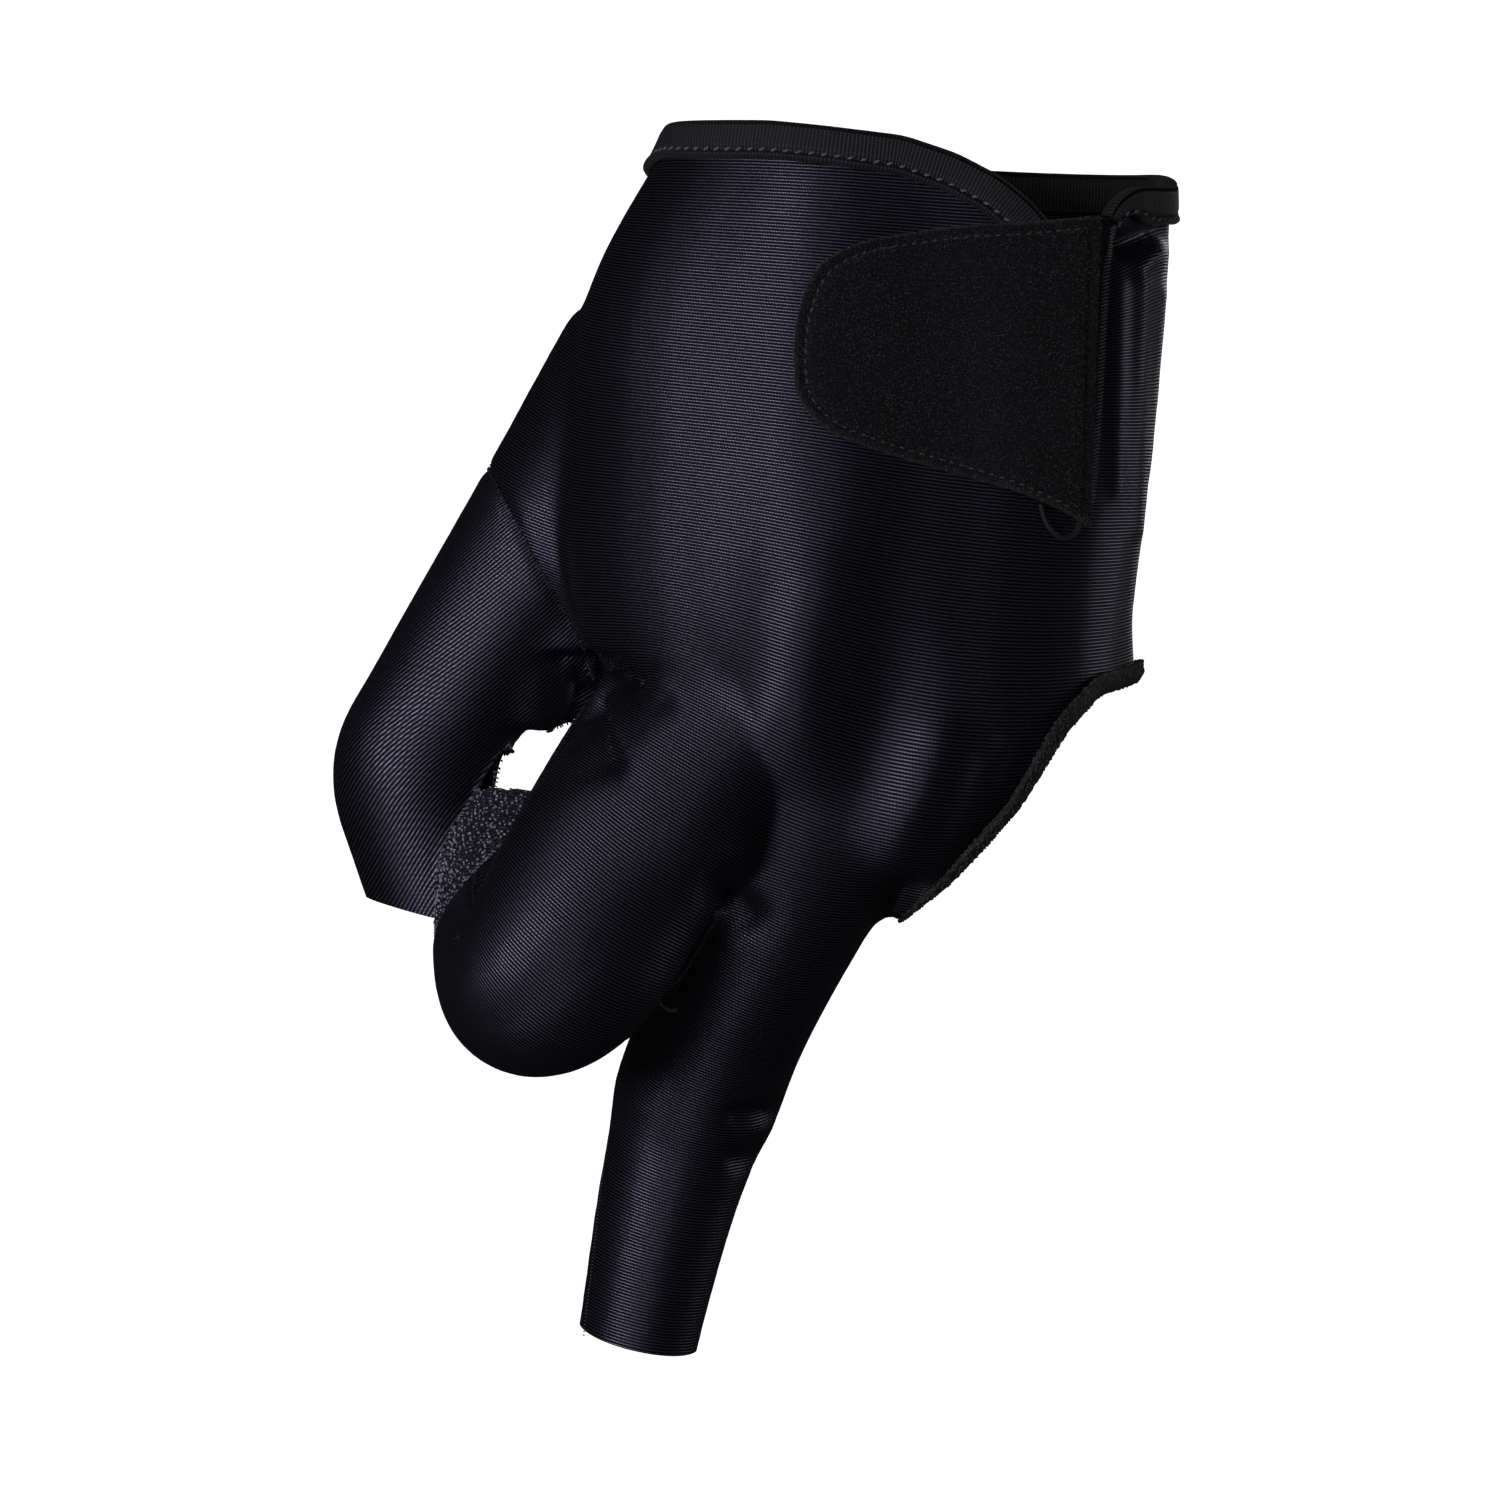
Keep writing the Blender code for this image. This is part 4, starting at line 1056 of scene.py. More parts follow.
def beads(at, along, out, length, width):
    """One small rounded body at each point, long along its own direction."""
    round_points, round_faces = ball()
    along = unit(along - np.sum(along * out, axis=1)[:, None] * out)
    across = np.cross(out, along)
    length, width = (np.broadcast_to(size, len(at))[:, None, None] / 2 for size in (length, width))
    points = at[:, None, :] + round_points[None, :, 2:3] * along[:, None, :] * length
    points = points + round_points[None, :, 0:1] * across[:, None, :] * width
    points = points + round_points[None, :, 1:2] * out[:, None, :] * width
    faces = np.array(round_faces) + (np.arange(len(at)) * len(round_points))[:, None, None]
    return points.reshape(-1, 3), faces.reshape(-1, 3)


def on_surface(surface, path):
    """The points of the surface nearest to the path, and the way it faces there."""
    found = [surface.nearest(at) for at in path]
    return np.array([at for at, _ in found]), np.array([facing for _, facing in found])


def levelled(sheet, guide):
    """A length at each point that rises as evenly along the guide as the cloth allows."""
    points, faces = sheet.points, sheet.faces
    size = np.linalg.norm(guide, axis=1)[:, None]
    guide = unit(guide - np.sum(guide * sheet.normals, axis=1)[:, None] * sheet.normals) * size
    a, b = np.unique(np.sort(edges_of(faces)), axis=0).T
    step = np.sum((guide[a] + guide[b]) / 2 * (points[b] - points[a]), axis=1)
    count = len(points)
    degree = np.maximum(np.bincount(a, minlength=count) + np.bincount(b, minlength=count), 1)

    def spread(values):
        return np.bincount(b, values, count) - np.bincount(a, values, count)

    length = points @ unit(guide.mean(axis=0))
    left = spread(step - (length[b] - length[a]))
    eased = left / degree
    way = eased.copy()
    power = left @ eased
    for _ in range(KNIT_ROUNDS):
        pull = spread(way[b] - way[a])
        share = power / max(way @ pull, ALMOST_ZERO)
        length += share * way
        left -= share * pull
        eased = left / degree
        power, before = left @ eased, power
        way = eased + way * (power / max(before, ALMOST_ZERO))
    return length


def stitches(name, at, along, out, stitch, material):
    """A row of stitches at the points, leaning a little off the way they run."""
    along = along + stitch.lean * np.cross(out, along)
    points, faces = beads(at, along, out, stitch.length, stitch.width)
    piece(name, points, faces, material, sharp=0)


def stitch_row(name, path, surface, stitch, material, lift=0.0, across=False, laid=False):
    """Stitches along a path or across it, at a height; laid moves them onto the surface."""
    path = evenly(path, stitch.pitch, False)
    along = directions(path, False)
    foot, out = on_surface(surface, path)
    along = np.cross(out, along) if across else along
    stitches(name, (foot if laid else path) + out * lift, along, out, stitch, material)


def edge_stitches(name, sheet, field, surface, stitch, material):
    """Bars of thread across the seam where the field is zero on the sheet's border."""
    rim = border_loops(sheet)
    points = np.vstack([sheet.points[loop] for loop in rim])
    ahead = np.vstack([directions(sheet.points[loop], True) for loop in rim])
    on_seam = np.abs(field(points)) < SEAM_REACH
    points, ahead = points[on_seam], ahead[on_seam]
    kept = np.unique(np.floor(running(points) / stitch.pitch), return_index=True)[1]
    at, out = on_surface(surface, points[kept])
    at = at - out * (SEAM_DIP * SEAM_STITCH_DEPTH)
    stitches(name, at, np.cross(out, ahead[kept]), out, stitch, material)


def lattice(sheet, knit, pitch):
    """Points of a staggered grid on the knit, with the way the sheet faces there."""
    at, out = [], []
    for face in sheet.faces:
        place_on = knit[face] / pitch
        low = np.floor(place_on.min(axis=0)).astype(int)
        high = np.ceil(place_on.max(axis=0)).astype(int)
        (ax, ay), (bx, by), (cx, cy) = place_on
        whole = (bx - ax) * (cy - ay) - (cx - ax) * (by - ay)
        if abs(whole) < FLATTEST:
            continue
        for row in range(low[1], high[1] + 1):
            for k in range(low[0] - 1, high[0] + 1):
                x, y = k + 0.5 * (row % 2), row
                v = ((x - ax) * (cy - ay) - (cx - ax) * (y - ay)) / whole
                w = ((bx - ax) * (y - ay) - (x - ax) * (by - ay)) / whole
                if v >= 0 and w >= 0 and v + w <= 1:
                    shares = np.array([1 - v - w, v, w])
                    at.append(shares @ sheet.points[face])
                    out.append(shares @ sheet.normals[face])
    return np.array(at), unit(out)


def scattered(points, faces, count, seed):
    """Points strewn over a mesh, with the way it faces there."""
    draw = np.random.default_rng(seed)
    halves = [[face[0], face[2], face[3]] for face in faces if len(face) == 4]
    faces = np.array([face[:3] for face in faces] + halves)
    corners = np.asarray(points)[faces]
    across = crossed(corners)
    size = np.linalg.norm(across, axis=1)
    chosen = draw.choice(len(faces), count, p=size / size.sum())
    v, w = draw.random((2, count))
    turned = v + w > 1
    v, w = np.where(turned, 1 - v, v), np.where(turned, 1 - w, w)
    a, b, c = corners[chosen].transpose(1, 0, 2)
    return a + v[:, None] * (b - a) + w[:, None] * (c - a), unit(across[chosen])


def fibres(name, at, out, material):
    """Short leaning hairs that taper to a point."""
    draw = np.random.default_rng(FIBRE_LEAN_SEED)
    lean = unit(draw.normal(size=at.shape))
    tip = unit(out + FIBRE_LEAN * lean)
    side = unit(np.cross(tip, lean))
    third = np.cross(tip, side)
    turn = np.arange(3) * 2 * math.pi / 3
    foot = at[:, None, :] - out[:, None, :] * FIBRE_WIDTH
    round_foot = np.cos(turn)[None, :, None] * side[:, None, :]
    round_foot = round_foot + np.sin(turn)[None, :, None] * third[:, None, :]
    foot = foot + FIBRE_WIDTH / 2 * round_foot
    length = FIBRE * (0.5 + draw.random(len(at)))[:, None]
    points = np.concatenate([foot, (at + tip * length)[:, None, :]], axis=1).reshape(-1, 3)
    ring = np.array([[0, 1, 3], [1, 2, 3], [2, 0, 3], [0, 2, 1]])
    faces = (ring[None, :, :] + (np.arange(len(at)) * 4)[:, None, None]).reshape(-1, 3)
    piece(name, points, faces, material, sharp=0)


# Materials
class Nodes:
    """A material's node tree, built one named step at a time."""

    def __init__(self, name):
        self.material = bpy.data.materials.new(name)
        self.material.use_nodes = True
        self.tree = self.material.node_tree

    def put(self, inputs, values):
        """Links each input to another node's output, or sets it to a number or a colour."""
        for key, value in values.items():
            if isinstance(value, bpy.types.NodeSocket):
                self.tree.links.new(value, inputs[key])
            else:
                inputs[key].default_value = value

    def node(self, kind, values, **settings):
        made = self.tree.nodes.new(kind)
        for key, value in settings.items():
            setattr(made, key, value)
        self.put(made.inputs, values)
        return made.outputs

    def math(self, operation, *values):
        return self.node("ShaderNodeMath", dict(enumerate(values)), operation=operation)[0]

    def plus(self, a, b):
        return self.math("ADD", a, b)

    def times(self, a, b):
        return self.math("MULTIPLY", a, b)

    def power(self, a, b):
        return self.math("POWER", a, b)

    def knit(self):
        """The place on the knit, which each piece keeps at its points."""
        return self.node("ShaderNodeAttribute", {}, attribute_name="knit")["Vector"]

    def split(self, vector):
        return self.node("ShaderNodeSeparateXYZ", {0: vector})

    def noise(self, scale, detail):
        place_on = self.node("ShaderNodeTexCoord", {})["Object"]
        values = {"Scale": scale, "Detail": detail, "Vector": place_on}
        return self.node("ShaderNodeTexNoise", values)["Fac"]

    def wave(self, along, pitch, phase):
        """A value from 0 to 1 that rises and falls once a pitch."""
        turned = self.plus(self.times(along, 2 * math.pi / pitch), phase)
        return self.plus(self.times(self.math("SINE", turned), 0.5), 0.5)

    def mixed(self, factor, low, high):
        """A colour between two, by a factor from 0 to 1."""
        values = {0: factor, 6: (*low, 1.0), 7: (*high, 1.0)}
        return self.node("ShaderNodeMix", values, data_type="RGBA")[2]

    def ranged(self, value, low, high):
        values = {"Value": value, "To Min": low, "To Max": high}
        return self.node("ShaderNodeMapRange", values)["Result"]

    def bump(self, height, distance, strength):
        values = {"Height": height, "Distance": distance, "Strength": strength}
        return self.node("ShaderNodeBump", values)["Normal"]

    def finished(self, **values):
        """The material, with the shader's inputs set."""
        values = {name.replace("_", " "): value for name, value in values.items()}
        self.put(self.tree.nodes["Principled BSDF"].inputs, values)
        return self.material


# Satin: the light is the knit courses' own tone, the dark is the gap between them, painted as dark as
# the shade that falls there
SATIN_DARK = (0.0030, 0.0029, 0.0058)
SATIN_LIGHT = (0.0950, 0.0885, 0.1340)
VELOUR_DARK = (0.0016, 0.0014, 0.0020)
VELOUR_LIGHT = (0.0105, 0.0094, 0.0125)
TAPE_DARK = (0.0014, 0.0014, 0.0018)
TAPE_LIGHT = (0.0195, 0.0178, 0.0270)
TERRY_DARK = (0.0016, 0.0016, 0.0017)
TERRY_LIGHT = (0.0085, 0.0082, 0.0090)
LOOP_LIGHT = (0.0560, 0.0540, 0.0560)
WHIP_LIGHT = (0.3600, 0.3450, 0.4400)
THREAD = (0.0110, 0.0105, 0.0160)
TAB_THREAD = (0.0900, 0.0880, 0.1000)
BRIGHT_THREAD = (0.2000, 0.1920, 0.2600)
GRIP_DARK = (0.0012, 0.0010, 0.0034)
GRIP_LIGHT = (0.0085, 0.0072, 0.0190)
GRIP_DOT = (0.4600, 0.4450, 0.6000)
# The pile's hairs are painted far lighter than the pile, as glints
FIBRE_GLINT = (0.1700, 0.1640, 0.1900)
PAPER_DARK = (0.93, 0.93, 0.93)
PAPER_LIGHT = (0.95, 0.95, 0.95)


def satin(name):
    """Stretch knit with a soft shine: bright courses across, broken by fine wales, with painted shade
    dark between the courses.
    """
    n = Nodes(name)
    u, v, _ = n.split(n.knit())
    course = n.wave(v, COURSE, n.times(n.noise(120.0, 1.0), 0.8))
    row = n.times(n.math("FLOOR", n.times(v, 1 / COURSE)), 2.4)
    wale = n.wave(u, WALE, n.plus(row, n.times(n.noise(500.0, 1.0), 1.3)))
    # The knit's pattern; its dark between the courses also paints the shade there
    yarn = n.times(n.power(course, 2.4), n.ranged(wale, 0.50, 1.0))
    worn = n.ranged(n.noise(1500.0, 1.0), 0.60, 1.22)
    return n.finished(
        Base_Color=n.mixed(n.times(yarn, worn), SATIN_DARK, SATIN_LIGHT),
        Roughness=n.ranged(yarn, 0.50, 0.32), Normal=n.bump(course, 0.00007, 0.8),
        Metallic=0.85, Specular_IOR_Level=0.20,
    )


def velour(name):
    """Dark brushed pile, mottled, with painted glints as a few bright specks."""
    n = Nodes(name)
    pile = n.noise(4200.0, 3.0)
    clump = n.noise(380.0, 2.0)
    # Painted glints: tiny bright specks strewn over the pile
    painted_glint = n.power(n.noise(2600.0, 1.0), 9.0)
    tone = n.times(n.power(pile, 2.0), n.plus(clump, 0.5))
    return n.finished(
        Base_Color=n.mixed(n.plus(tone, n.times(painted_glint, 14.0)), VELOUR_DARK, VELOUR_LIGHT),
        Roughness=n.ranged(pile, 0.98, 0.80), Normal=n.bump(n.plus(pile, clump), 0.00020, 0.8),
        Sheen_Weight=0.03, Sheen_Roughness=0.5, Specular_IOR_Level=0.08,
    )


def ribbed(name):
    """Tape with ribs across it, by the length along the tape, with painted shade in the groove where it
    is stitched down.
    """
    n = Nodes(name)
    along, across, _ = n.split(n.knit())
    rib = n.wave(along, RIB, n.times(n.noise(500.0, 1.0), 1.5))
    cross = n.wave(across, RIB * 0.8, n.times(n.noise(900.0, 1.0), 3.0))
    yarn = n.times(n.power(rib, 1.5), n.ranged(cross, 0.5, 1.0))
    # Painted shade in the stitched groove: the tape's colour darkens towards the groove's middle
    off_groove = n.math("ABSOLUTE", n.math("SUBTRACT", across, TAPE_GROOVE))
    groove_shade_factor = n.math("MINIMUM", n.times(off_groove, 1 / TAPE_GROOVE_WIDTH), 1.0)
    yarn = n.times(yarn, n.power(groove_shade_factor, 2.0))
    return n.finished(
        Base_Color=n.mixed(yarn, TAPE_DARK, TAPE_LIGHT),
        Roughness=n.ranged(yarn, 0.80, 0.58), Normal=n.bump(yarn, 0.00012, 0.8),
        Sheen_Weight=0.02, Sheen_Roughness=0.4, Specular_IOR_Level=0.25,
    )


def grip_mesh(name):
    """Looped mesh of the grip strip: small dark cells between light loops."""
    n = Nodes(name)
    values = {"Scale": 1600.0, "Vector": n.knit()}
    cells = n.node("ShaderNodeTexVoronoi", values, feature="DISTANCE_TO_EDGE")["Distance"]
    loop = n.math("SUBTRACT", 1.0, n.math("MINIMUM", n.times(cells, 3.0), 1.0))
    tone = n.times(loop, n.ranged(n.noise(1500.0, 2.0), 0.2, 1.2))
    return n.finished(
        Base_Color=n.mixed(tone, GRIP_DARK, GRIP_LIGHT),
        Roughness=n.ranged(tone, 0.75, 0.45), Normal=n.bump(tone, 0.00025, 1.0),
        Specular_IOR_Level=0.35,
    )


def yarns(name, dark, light, scale=3200.0):
    """Rough yarn or thread, mottled from dark to light."""
    n = Nodes(name)
    loops = n.noise(scale, 3.0)
    return n.finished(
        Base_Color=n.mixed(n.power(loops, 1.6), dark, light),
        Roughness=n.ranged(loops, 0.85, 0.55), Normal=n.bump(loops, 0.00012, 0.8),
        Sheen_Weight=0.02, Sheen_Roughness=0.5, Specular_IOR_Level=0.25,
    )


def paper(name):
    """Plain pale paper for the floor, bright enough to read as white."""
    n = Nodes(name)
    colour = n.mixed(n.noise(3.0, 2.0), PAPER_DARK, PAPER_LIGHT)
    return n.finished(
        Base_Color=colour, Emission_Color=colour, Emission_Strength=PAPER_GLOW,
        Roughness=0.9, Specular_IOR_Level=0.0,
    )


# Pieces
def meshed(name, points, faces, material):
    """A smooth-shaded mesh."""
    mesh = bpy.data.meshes.new(name)
    mesh.from_pydata(np.asarray(points).tolist(), [], [list(face) for face in faces])
    mesh.shade_smooth()
    mesh.materials.append(material)
    return mesh


def piece(name, points, faces, material, replaces=(), knit=None, sharp=50):
    """A piece of the glove, with its place on the knit kept at each point."""
    mesh = meshed(name, points, faces, material)
    if sharp:
        mesh.set_sharp_from_angle(angle=math.radians(sharp))
    if knit is not None:
        held = mesh.attributes.new("knit", "FLOAT_VECTOR", "POINT")
        knit = np.column_stack([knit, np.zeros(len(knit))])
        held.data.foreach_set("vector", knit.astype(np.float32).ravel())
    obj = linked(name, mesh)
    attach(obj, "root")
    if replaces:
        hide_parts(*replaces)
    return obj


def flat_area(sheet):
    return float(np.linalg.norm(crossed(sheet.points[sheet.faces]), axis=1).sum() / 2)


def panel(name, sheet, guide, material):
    """A panel of the glove: a thin wall of cloth, with its knit."""
    points, faces = thickened(sheet, 0.0, -CLOTH)
    across = unit(np.cross(guide, sheet.normals)) * np.linalg.norm(guide, axis=1)[:, None]
    knit = np.column_stack([levelled(sheet, across), levelled(sheet, guide)])
    obj = piece(name + "_cloth", points, faces, material, [name], np.tile(knit, (2, 1)))
    area = flat_area(sheet)
    return knit


def wrist_profile():
    """The folded wrist tape's section: a groove for a row of stitches near its lower edge, and a rolled
    lip below it.
    """
    width = WRIST_TAPE_WIDTH
    outer = []
    for step in range(OUTER_PARTS + 1):
        depth = width * (1 - step / OUTER_PARTS)
        level = TAPE + TAPE_PUFF
        for ridge in WRIST_RIDGES:
            level += ridge.height * math.exp(-(((depth - width * ridge.at) / ridge.half_width) ** 2))
        if depth > width - LIP_ROUND:
            level *= math.sqrt(from_least(LIP_LEAST, (width - depth) / LIP_ROUND))
        outer.append((depth, BINDING_GAP + level, 1))
    top = BINDING_GAP + TAPE + TAPE_PUFF
    middle = (top + CLOTH + top) / 2
    over = []
    for step in range(1, OVER_PARTS):
        turn = math.pi * step / OVER_PARTS
        over.append((-BINDING_GAP - OVER * math.sin(turn), top - middle + middle * math.cos(turn), 0))
    inner = [(depth, BINDING_GAP + TAPE, -1) for depth in np.linspace(0.0, width, INNER_POINTS)]
    back = [(depth, BINDING_GAP * 0.5, -1) for depth in (width, width * 0.5, 0.0)]
    front = [(depth, BINDING_GAP * 0.5, 1) for depth in (0.0, width * 0.5, width)]
    return outer + over + inner + back + front


def tape(name, path, closed, surface, profile, shares, material, replaces):
    """A tape wrapped over an edge, with the length along it kept for its ribs."""
    points, faces = wrapped(path, closed, surface, profile, np.broadcast_to(shares, len(path)))
    around = running(np.array(profile)[:, :2])
    knit = np.column_stack([np.repeat(running(path), len(profile)), np.tile(around, len(path))])
    piece(name, points, faces, material, [replaces], knit, TAPE_SHARP)
    return points.reshape(len(path), len(profile), 3), faces


def seam_dips(sheet, fields):
    """The cloth drawn in along its seams, where the stitches pull it down."""
    seams = (fields.to_back, fields.to_thumb, fields.to_grip)
    near = np.min([np.abs(seam(sheet.points)) for seam in seams], axis=0)
    dip = SEAM_DIP * np.exp(-((near / SEAM_DIP_WIDTH) ** 2))
    return Sheet(sheet.points - sheet.normals * dip[:, None], sheet.normals, sheet.faces)


def cloth_of(form, fields):
    """The form's surface with the wrist, the slit, the finger opening and the hems cut away."""
    cloth = trimmed(form, lambda p: -fields.past_wrist(p))
    cloth = trimmed(cloth, lambda p: -fields.past_opening(p))
    for hem, own, others in [
        (THUMB_HEM, [fields.thumb], []),
        (INDEX_HEM, [fields.index], [fields.thumb, fields.web]),
        (MIDDLE_HEM, [fields.middle], []),
    ]:
        cloth = trimmed(cloth, lambda p: -fields.past_hem(hem, own, others, p))
    return cloth


def panels(cloth, fields, surface, dark_thread, bright_thread):
    """The four panels, the dots of the grip strip and the stitches over the seams."""
    thumb_sleeve, rest = seamed(cloth, fields.to_thumb)
    grip_panel, rest = seamed(rest, fields.to_grip)
    back_panel, palm_panel = seamed(rest, fields.to_back)
    look = satin("satin_knit")
    for name, sheet, courses in [
        ("back_panel", back_panel, fields.courses),
        ("palm_panel", palm_panel, fields.courses),
        ("thumb_sleeve", thumb_sleeve, thumb_courses),
    ]:
        sheet = seam_dips(sheet, fields)
        panel(name, sheet, courses(sheet.points), look)
    sheet = seam_dips(grip_panel, fields)
    courses = fields.courses(sheet.points)
    knit = panel("index_grip_panel", sheet, courses, grip_mesh("grip_mesh"))
    grip_dots(*lattice(sheet, knit, DOT_PITCH))

    for name, sheet, field, stitch, thread in [
        ("side_seam_stitches", back_panel, fields.to_back, SEAM_STITCH, dark_thread),
        ("thumb_seam_stitches", thumb_sleeve, fields.to_thumb, SEAM_STITCH, dark_thread),
        ("grip_seam_stitches", grip_panel, fields.to_grip, GRIP_SEAM_STITCH, bright_thread),
    ]:
        edge_stitches(name, sheet, field, surface, stitch, thread)


def grip_dots(at, out):
    """Small raised dots strewn round the points of a staggered grid."""
    draw = np.random.default_rng(DOT_SEED)
    kept = draw.random(len(at)) < DOT_SHARE
    at, out = at[kept], out[kept]
    at = at + draw.normal(size=at.shape) * DOT_SCATTER
    width = 2 * DOT * draw.uniform(*DOT_SPREAD, len(at))
    points, faces = beads(at, np.cross(out, (0.0, 0.0, 1.0)), out, width, width)
    piece("grip_dots", points, faces, yarns("grip_dot", GRIP_LIGHT, GRIP_DOT), sharp=0)


def wrist_and_slit(cloth, surface, bright_thread):
    """The folded tape round the wrist and the slit's left side, and the piping on its right side."""
    top, foot = front_point(surface, SLIT_TOP), front_point(surface, SLIT_BOTTOM)
    edge = edge_path(cloth, foot)
    slit_path, wrist_path = sorted((between(edge, foot, top), between(edge, top, foot)), key=len)
    wrist_path = evenly(shortened(wrist_path, WRIST_END_ROOM, SLIT_TOP_ROOM), TAPE_STEP, False)
    slit_path = evenly(shortened(slit_path, SLIT_TOP_ROOM, SLIT_END_ROOM), TAPE_STEP, False)

    to_end = TAPE_STEP * np.arange(len(wrist_path))[::-1]
    shares = from_least(TAPE_END_SHARE, smoothstep(0.0, TAPE_END, to_end))
    ribs = ribbed("ribbed_tape")
    profile = wrist_profile()
    rings, _ = tape("wrist_tape", wrist_path, False, surface, profile, shares, ribs, "wrist_binding")
    path = rings[:, STITCH_AT]
    stitch_row("wrist_tape_stitches", path, surface, WRIST_STITCH, bright_thread, WRIST_STITCH_LIFT)

    core = yarns("piping_core", TERRY_DARK, TAPE_DARK)
    profile = u_profile(SLIT_TAPE_WIDTH, PIPING)
    rings, _ = tape("slit_piping", slit_path, False, surface, profile, 1.0, core, "slit_binding")
    path = rings[:, 1:4].mean(axis=1)
    whip = yarns("whip_thread", THREAD, WHIP_LIGHT)
    lift = WHIP_STITCH.width / 3
    stitch_row("slit_whip_stitches", path, surface, WHIP_STITCH, whip, lift, across=True)


def finger_opening(cloth, surface):
    """The rolled edge of the opening for the ring and little fingers, with its small loops."""
    edge = evenly(edge_path(cloth, place(*OPENING_MIDDLE)), TAPE_STEP, True)
    away = np.linalg.norm(edge[:, [0, 2]] - flat([OPENING_CORNER])[0], axis=1)
    shares = from_least(ROLL_END_SHARE, smoothstep(0.0, ROLL_END, away))
    terry = yarns("looped_edge", TERRY_DARK, TERRY_LIGHT, 2400.0)
    profile = u_profile(ROLL_WIDTH, ROLL)
    rings, faces = tape(
        "finger_opening_roll", edge, True, surface, profile, shares, terry, "finger_opening_binding"
    )
    at, out = scattered(rings.reshape(-1, 3), faces, TERRY_LOOPS, LOOP_SEED)
    lean = np.random.default_rng(LOOP_LEAN_SEED).normal(size=at.shape)
    points, faces = beads(at, lean, out, TERRY_LOOP, TERRY_LOOP * TERRY_LOOP_SHARE)
    look = yarns("terry_loop", TERRY_DARK, LOOP_LIGHT, 1500.0)
    piece("finger_opening_loops", points, faces, look, sharp=0)


def strap_tab(surface):
    """The velour tab over the slit, with a stitched groove along its edge and its pile."""
    outline = through(flat(TAB), TAB_PARTS)
    tab = trimmed(draped(surface, outline), lambda p: inside_outline(outline, p[:, [0, 2]]))
    slit = flat(WRIST_EDGE[SLIT_FIRST : SLIT_LAST + 1])
    near = np.min([to_segment(tab.points[:, [0, 2]], a, b) for a, b in zip(slit, slit[1:])], axis=0)
    right = tab.points[:, 0] > np.interp(tab.points[:, 2], slit[::-1, 1], slit[::-1, 0])
    reach = np.where(right, 0.0, near)
    over = 1 - smoothstep(WRIST_TAPE_WIDTH, WRIST_TAPE_WIDTH + TAB_EASE, reach)
    lift = TAB_REST + (TAB_LIFT - TAB_REST) * over
    inside = inside_outline(outline, tab.points[:, [0, 2]])
    rim = np.sqrt(np.clip(1 - (1 - np.clip(inside / TAB_EDGE_ROUND, 0, 1)) ** 2, 0, 1))
    crown = TAB_THICKNESS * from_least(TAB_EDGE_SHARE, rim)
    crown -= TAB_GROOVE * np.exp(-(((inside - TAB_STITCH_INSET) / TAB_GROOVE_WIDTH) ** 2))
    points, faces = thickened(tab, lift + crown, lift)
    look = velour("brushed_velour")
    obj = piece("velour_tab", points, faces, look, ["strap_tab"])
    area = flat_area(tab)

    top = Sheet(tab.points + tab.normals * (lift + crown)[:, None], tab.normals, tab.faces)
    at, out = scattered(top.points, top.faces, FIBRES, FIBRE_SEED)
    # The hairs of the pile, painted light as glints
    fibres("velour_tab_fibres", at, out, yarns("pile_fibre_glint", VELOUR_LIGHT, FIBRE_GLINT))
    face = Surface(top)
    path = np.array([
        front_point(face, Corner(x / HAND_WIDTH, -z / HAND_LENGTH))
        for x, z in inset(outline, TAB_STITCH_INSET)
    ])
    thread = yarns("tab_thread", THREAD, TAB_THREAD)
    stitch_row("velour_tab_stitches", path, face, TAB_STITCH, thread)


def build():
    rows = (THUMB, WEB, INDEX, MIDDLE, RING, LITTLE)
    fields = Fields([Limb(each, INDEX_HUB if each is INDEX else FAR_HUB) for each in rows])
    form = hand_form(fields.limbs)
    surface = Surface(form)
    cloth = cloth_of(form, fields)
    dark_thread = yarns("dark_thread", TERRY_DARK, THREAD)
    bright_thread = yarns("bright_thread", THREAD, BRIGHT_THREAD)
    panels(cloth, fields, surface, dark_thread, bright_thread)

    bar_thread = yarns("bar_thread", THREAD, TAB_THREAD)
    for name, corners in SHOWN_SEAMS.items():
        seam = through([front_point(surface, corner) for corner in corners], SEAM_PARTS)
        stitch_row(name, seam, surface, BAR_STITCH, bar_thread, across=True, laid=True)

    wrist_and_slit(cloth, surface, bright_thread)
    finger_opening(cloth, surface)
    strap_tab(surface)

    at = [front_point(surface, corner) for corner in LOOP]
    path = at + on_surface(surface, at)[1] * LOOP_LIFT
    points, faces = tube(through(path, LOOP_PARTS), LOOP_RADIUS)
    piece("slit_loop_tape", points, faces, dark_thread, ["slit_loop"])


def inset(outline, distance):
    """An outline drawn in by a distance, without its closing side, as even points (x, z)."""
    loop = relaxed(evenly(outline, distance / INSET_PARTS, True), INSET_EASING)
    ahead = directions(loop, True)
    inward = np.column_stack([-ahead[:, 1], ahead[:, 0]])
    if inside_outline(outline, loop[:1] + inward[:1] * distance)[0] < 0:
        inward = -inward
    drawn = loop + inward * distance
    off_side = to_segment(drawn, outline[-1], outline[0]) > distance * INSET_OFF_SIDE
    return drawn[off_side & (inside_outline(outline, drawn) > distance * INSET_KEPT)]


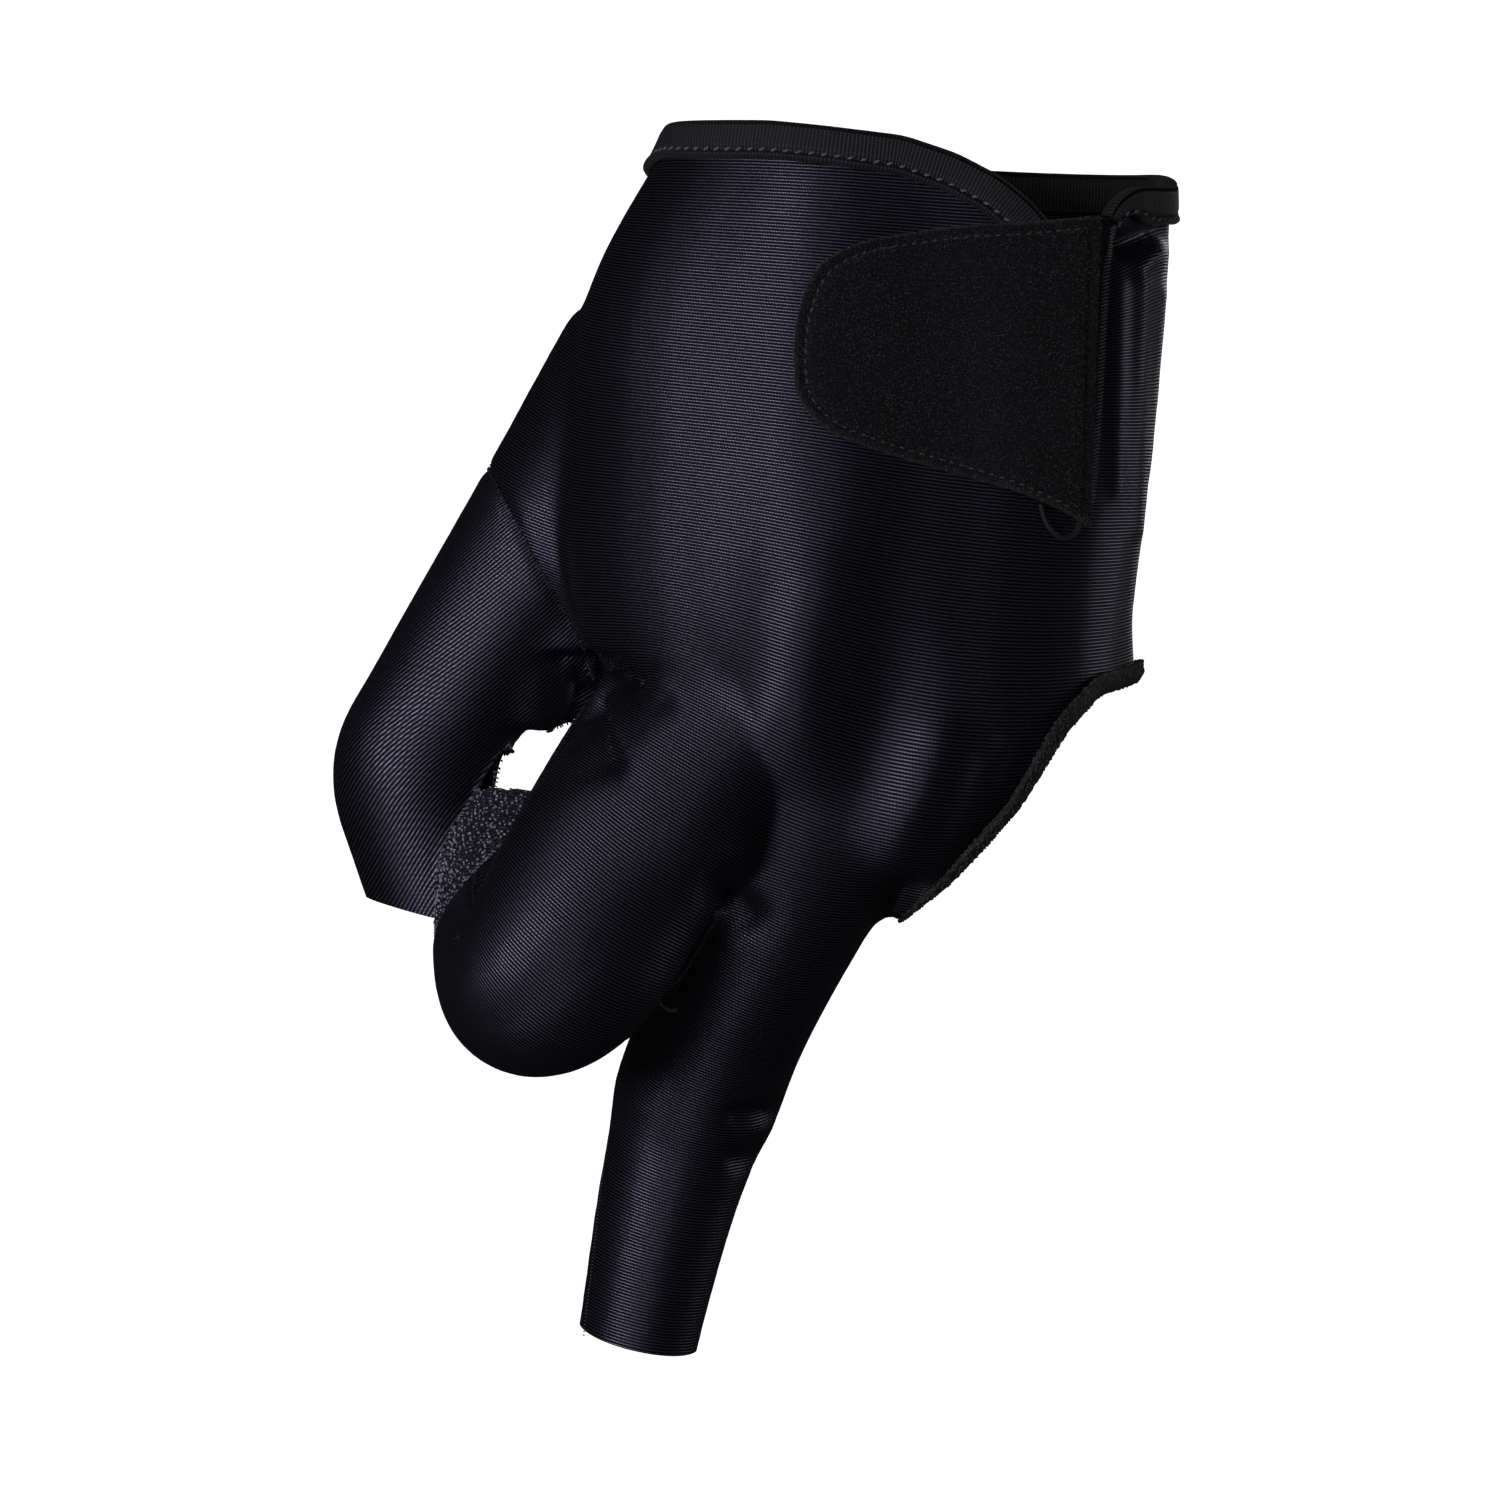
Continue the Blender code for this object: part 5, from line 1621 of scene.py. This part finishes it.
def area_light(lamp, aim):
    data = bpy.data.lights.new(lamp.name, "AREA")
    data.shape = "ELLIPSE"
    data.size = lamp.width
    data.size_y = lamp.height
    data.energy = lamp.power
    obj = linked(lamp.name, data)
    obj.location = lamp.at
    obj.rotation_euler = (aim - Vector(lamp.at)).to_track_quat("-Z", "Y").to_euler()


def studio():
    """A pale floor that curves up into a backdrop, soft lights, and the camera of the photograph."""
    middle = Vector(PICTURE_MIDDLE)
    rows = [(FLOOR_FRONT, FLOOR)]
    for turn in np.linspace(0, math.pi / 2, BEND_POINTS):
        y = WALL - FLOOR_BEND + FLOOR_BEND * math.sin(turn)
        rows.append((y, FLOOR + FLOOR_BEND - FLOOR_BEND * math.cos(turn)))
    rows.append((WALL, WALL_TOP))
    points = [(x, y, z) for y, z in rows for x in (-FLOOR_HALF, FLOOR_HALF)]
    faces = [[2 * k, 2 * k + 1, 2 * k + 3, 2 * k + 2] for k in range(len(rows) - 1)]
    mesh = meshed("studio_floor", points, faces, paper("pale_paper"))
    floor = linked("studio_floor", mesh)
    floor.visible_diffuse = False
    floor.visible_glossy = False

    world = bpy.data.worlds.new("studio")
    bpy.context.scene.world = world
    world.use_nodes = True
    tree = world.node_tree
    ray = tree.nodes.new("ShaderNodeLightPath").outputs["Is Camera Ray"]
    strength = tree.nodes.new("ShaderNodeMapRange")
    strength.inputs["To Min"].default_value = WORLD_LIGHT
    strength.inputs["To Max"].default_value = BACKDROP
    tree.links.new(ray, strength.inputs["Value"])
    tree.links.new(strength.outputs["Result"], tree.nodes["Background"].inputs["Strength"])
    tree.nodes["Background"].inputs["Color"].default_value = (1.0, 1.0, 1.0, 1.0)
    bpy.context.scene.view_settings.view_transform = "Standard"
    for lamp in LAMPS:
        area_light(lamp, middle)

    data = bpy.data.cameras.new("camera")
    data.sensor_width = SENSOR
    data.lens = SENSOR * CAMERA_AWAY / PICTURE_WIDTH
    data.clip_end = FAR_CLIP
    camera = linked("camera", data)
    camera.location = middle + Vector((0.0, -CAMERA_AWAY, 0.0))
    camera.rotation_euler = (math.pi / 2, 0.0, 0.0)
    bpy.context.scene.camera = camera


build()
studio()
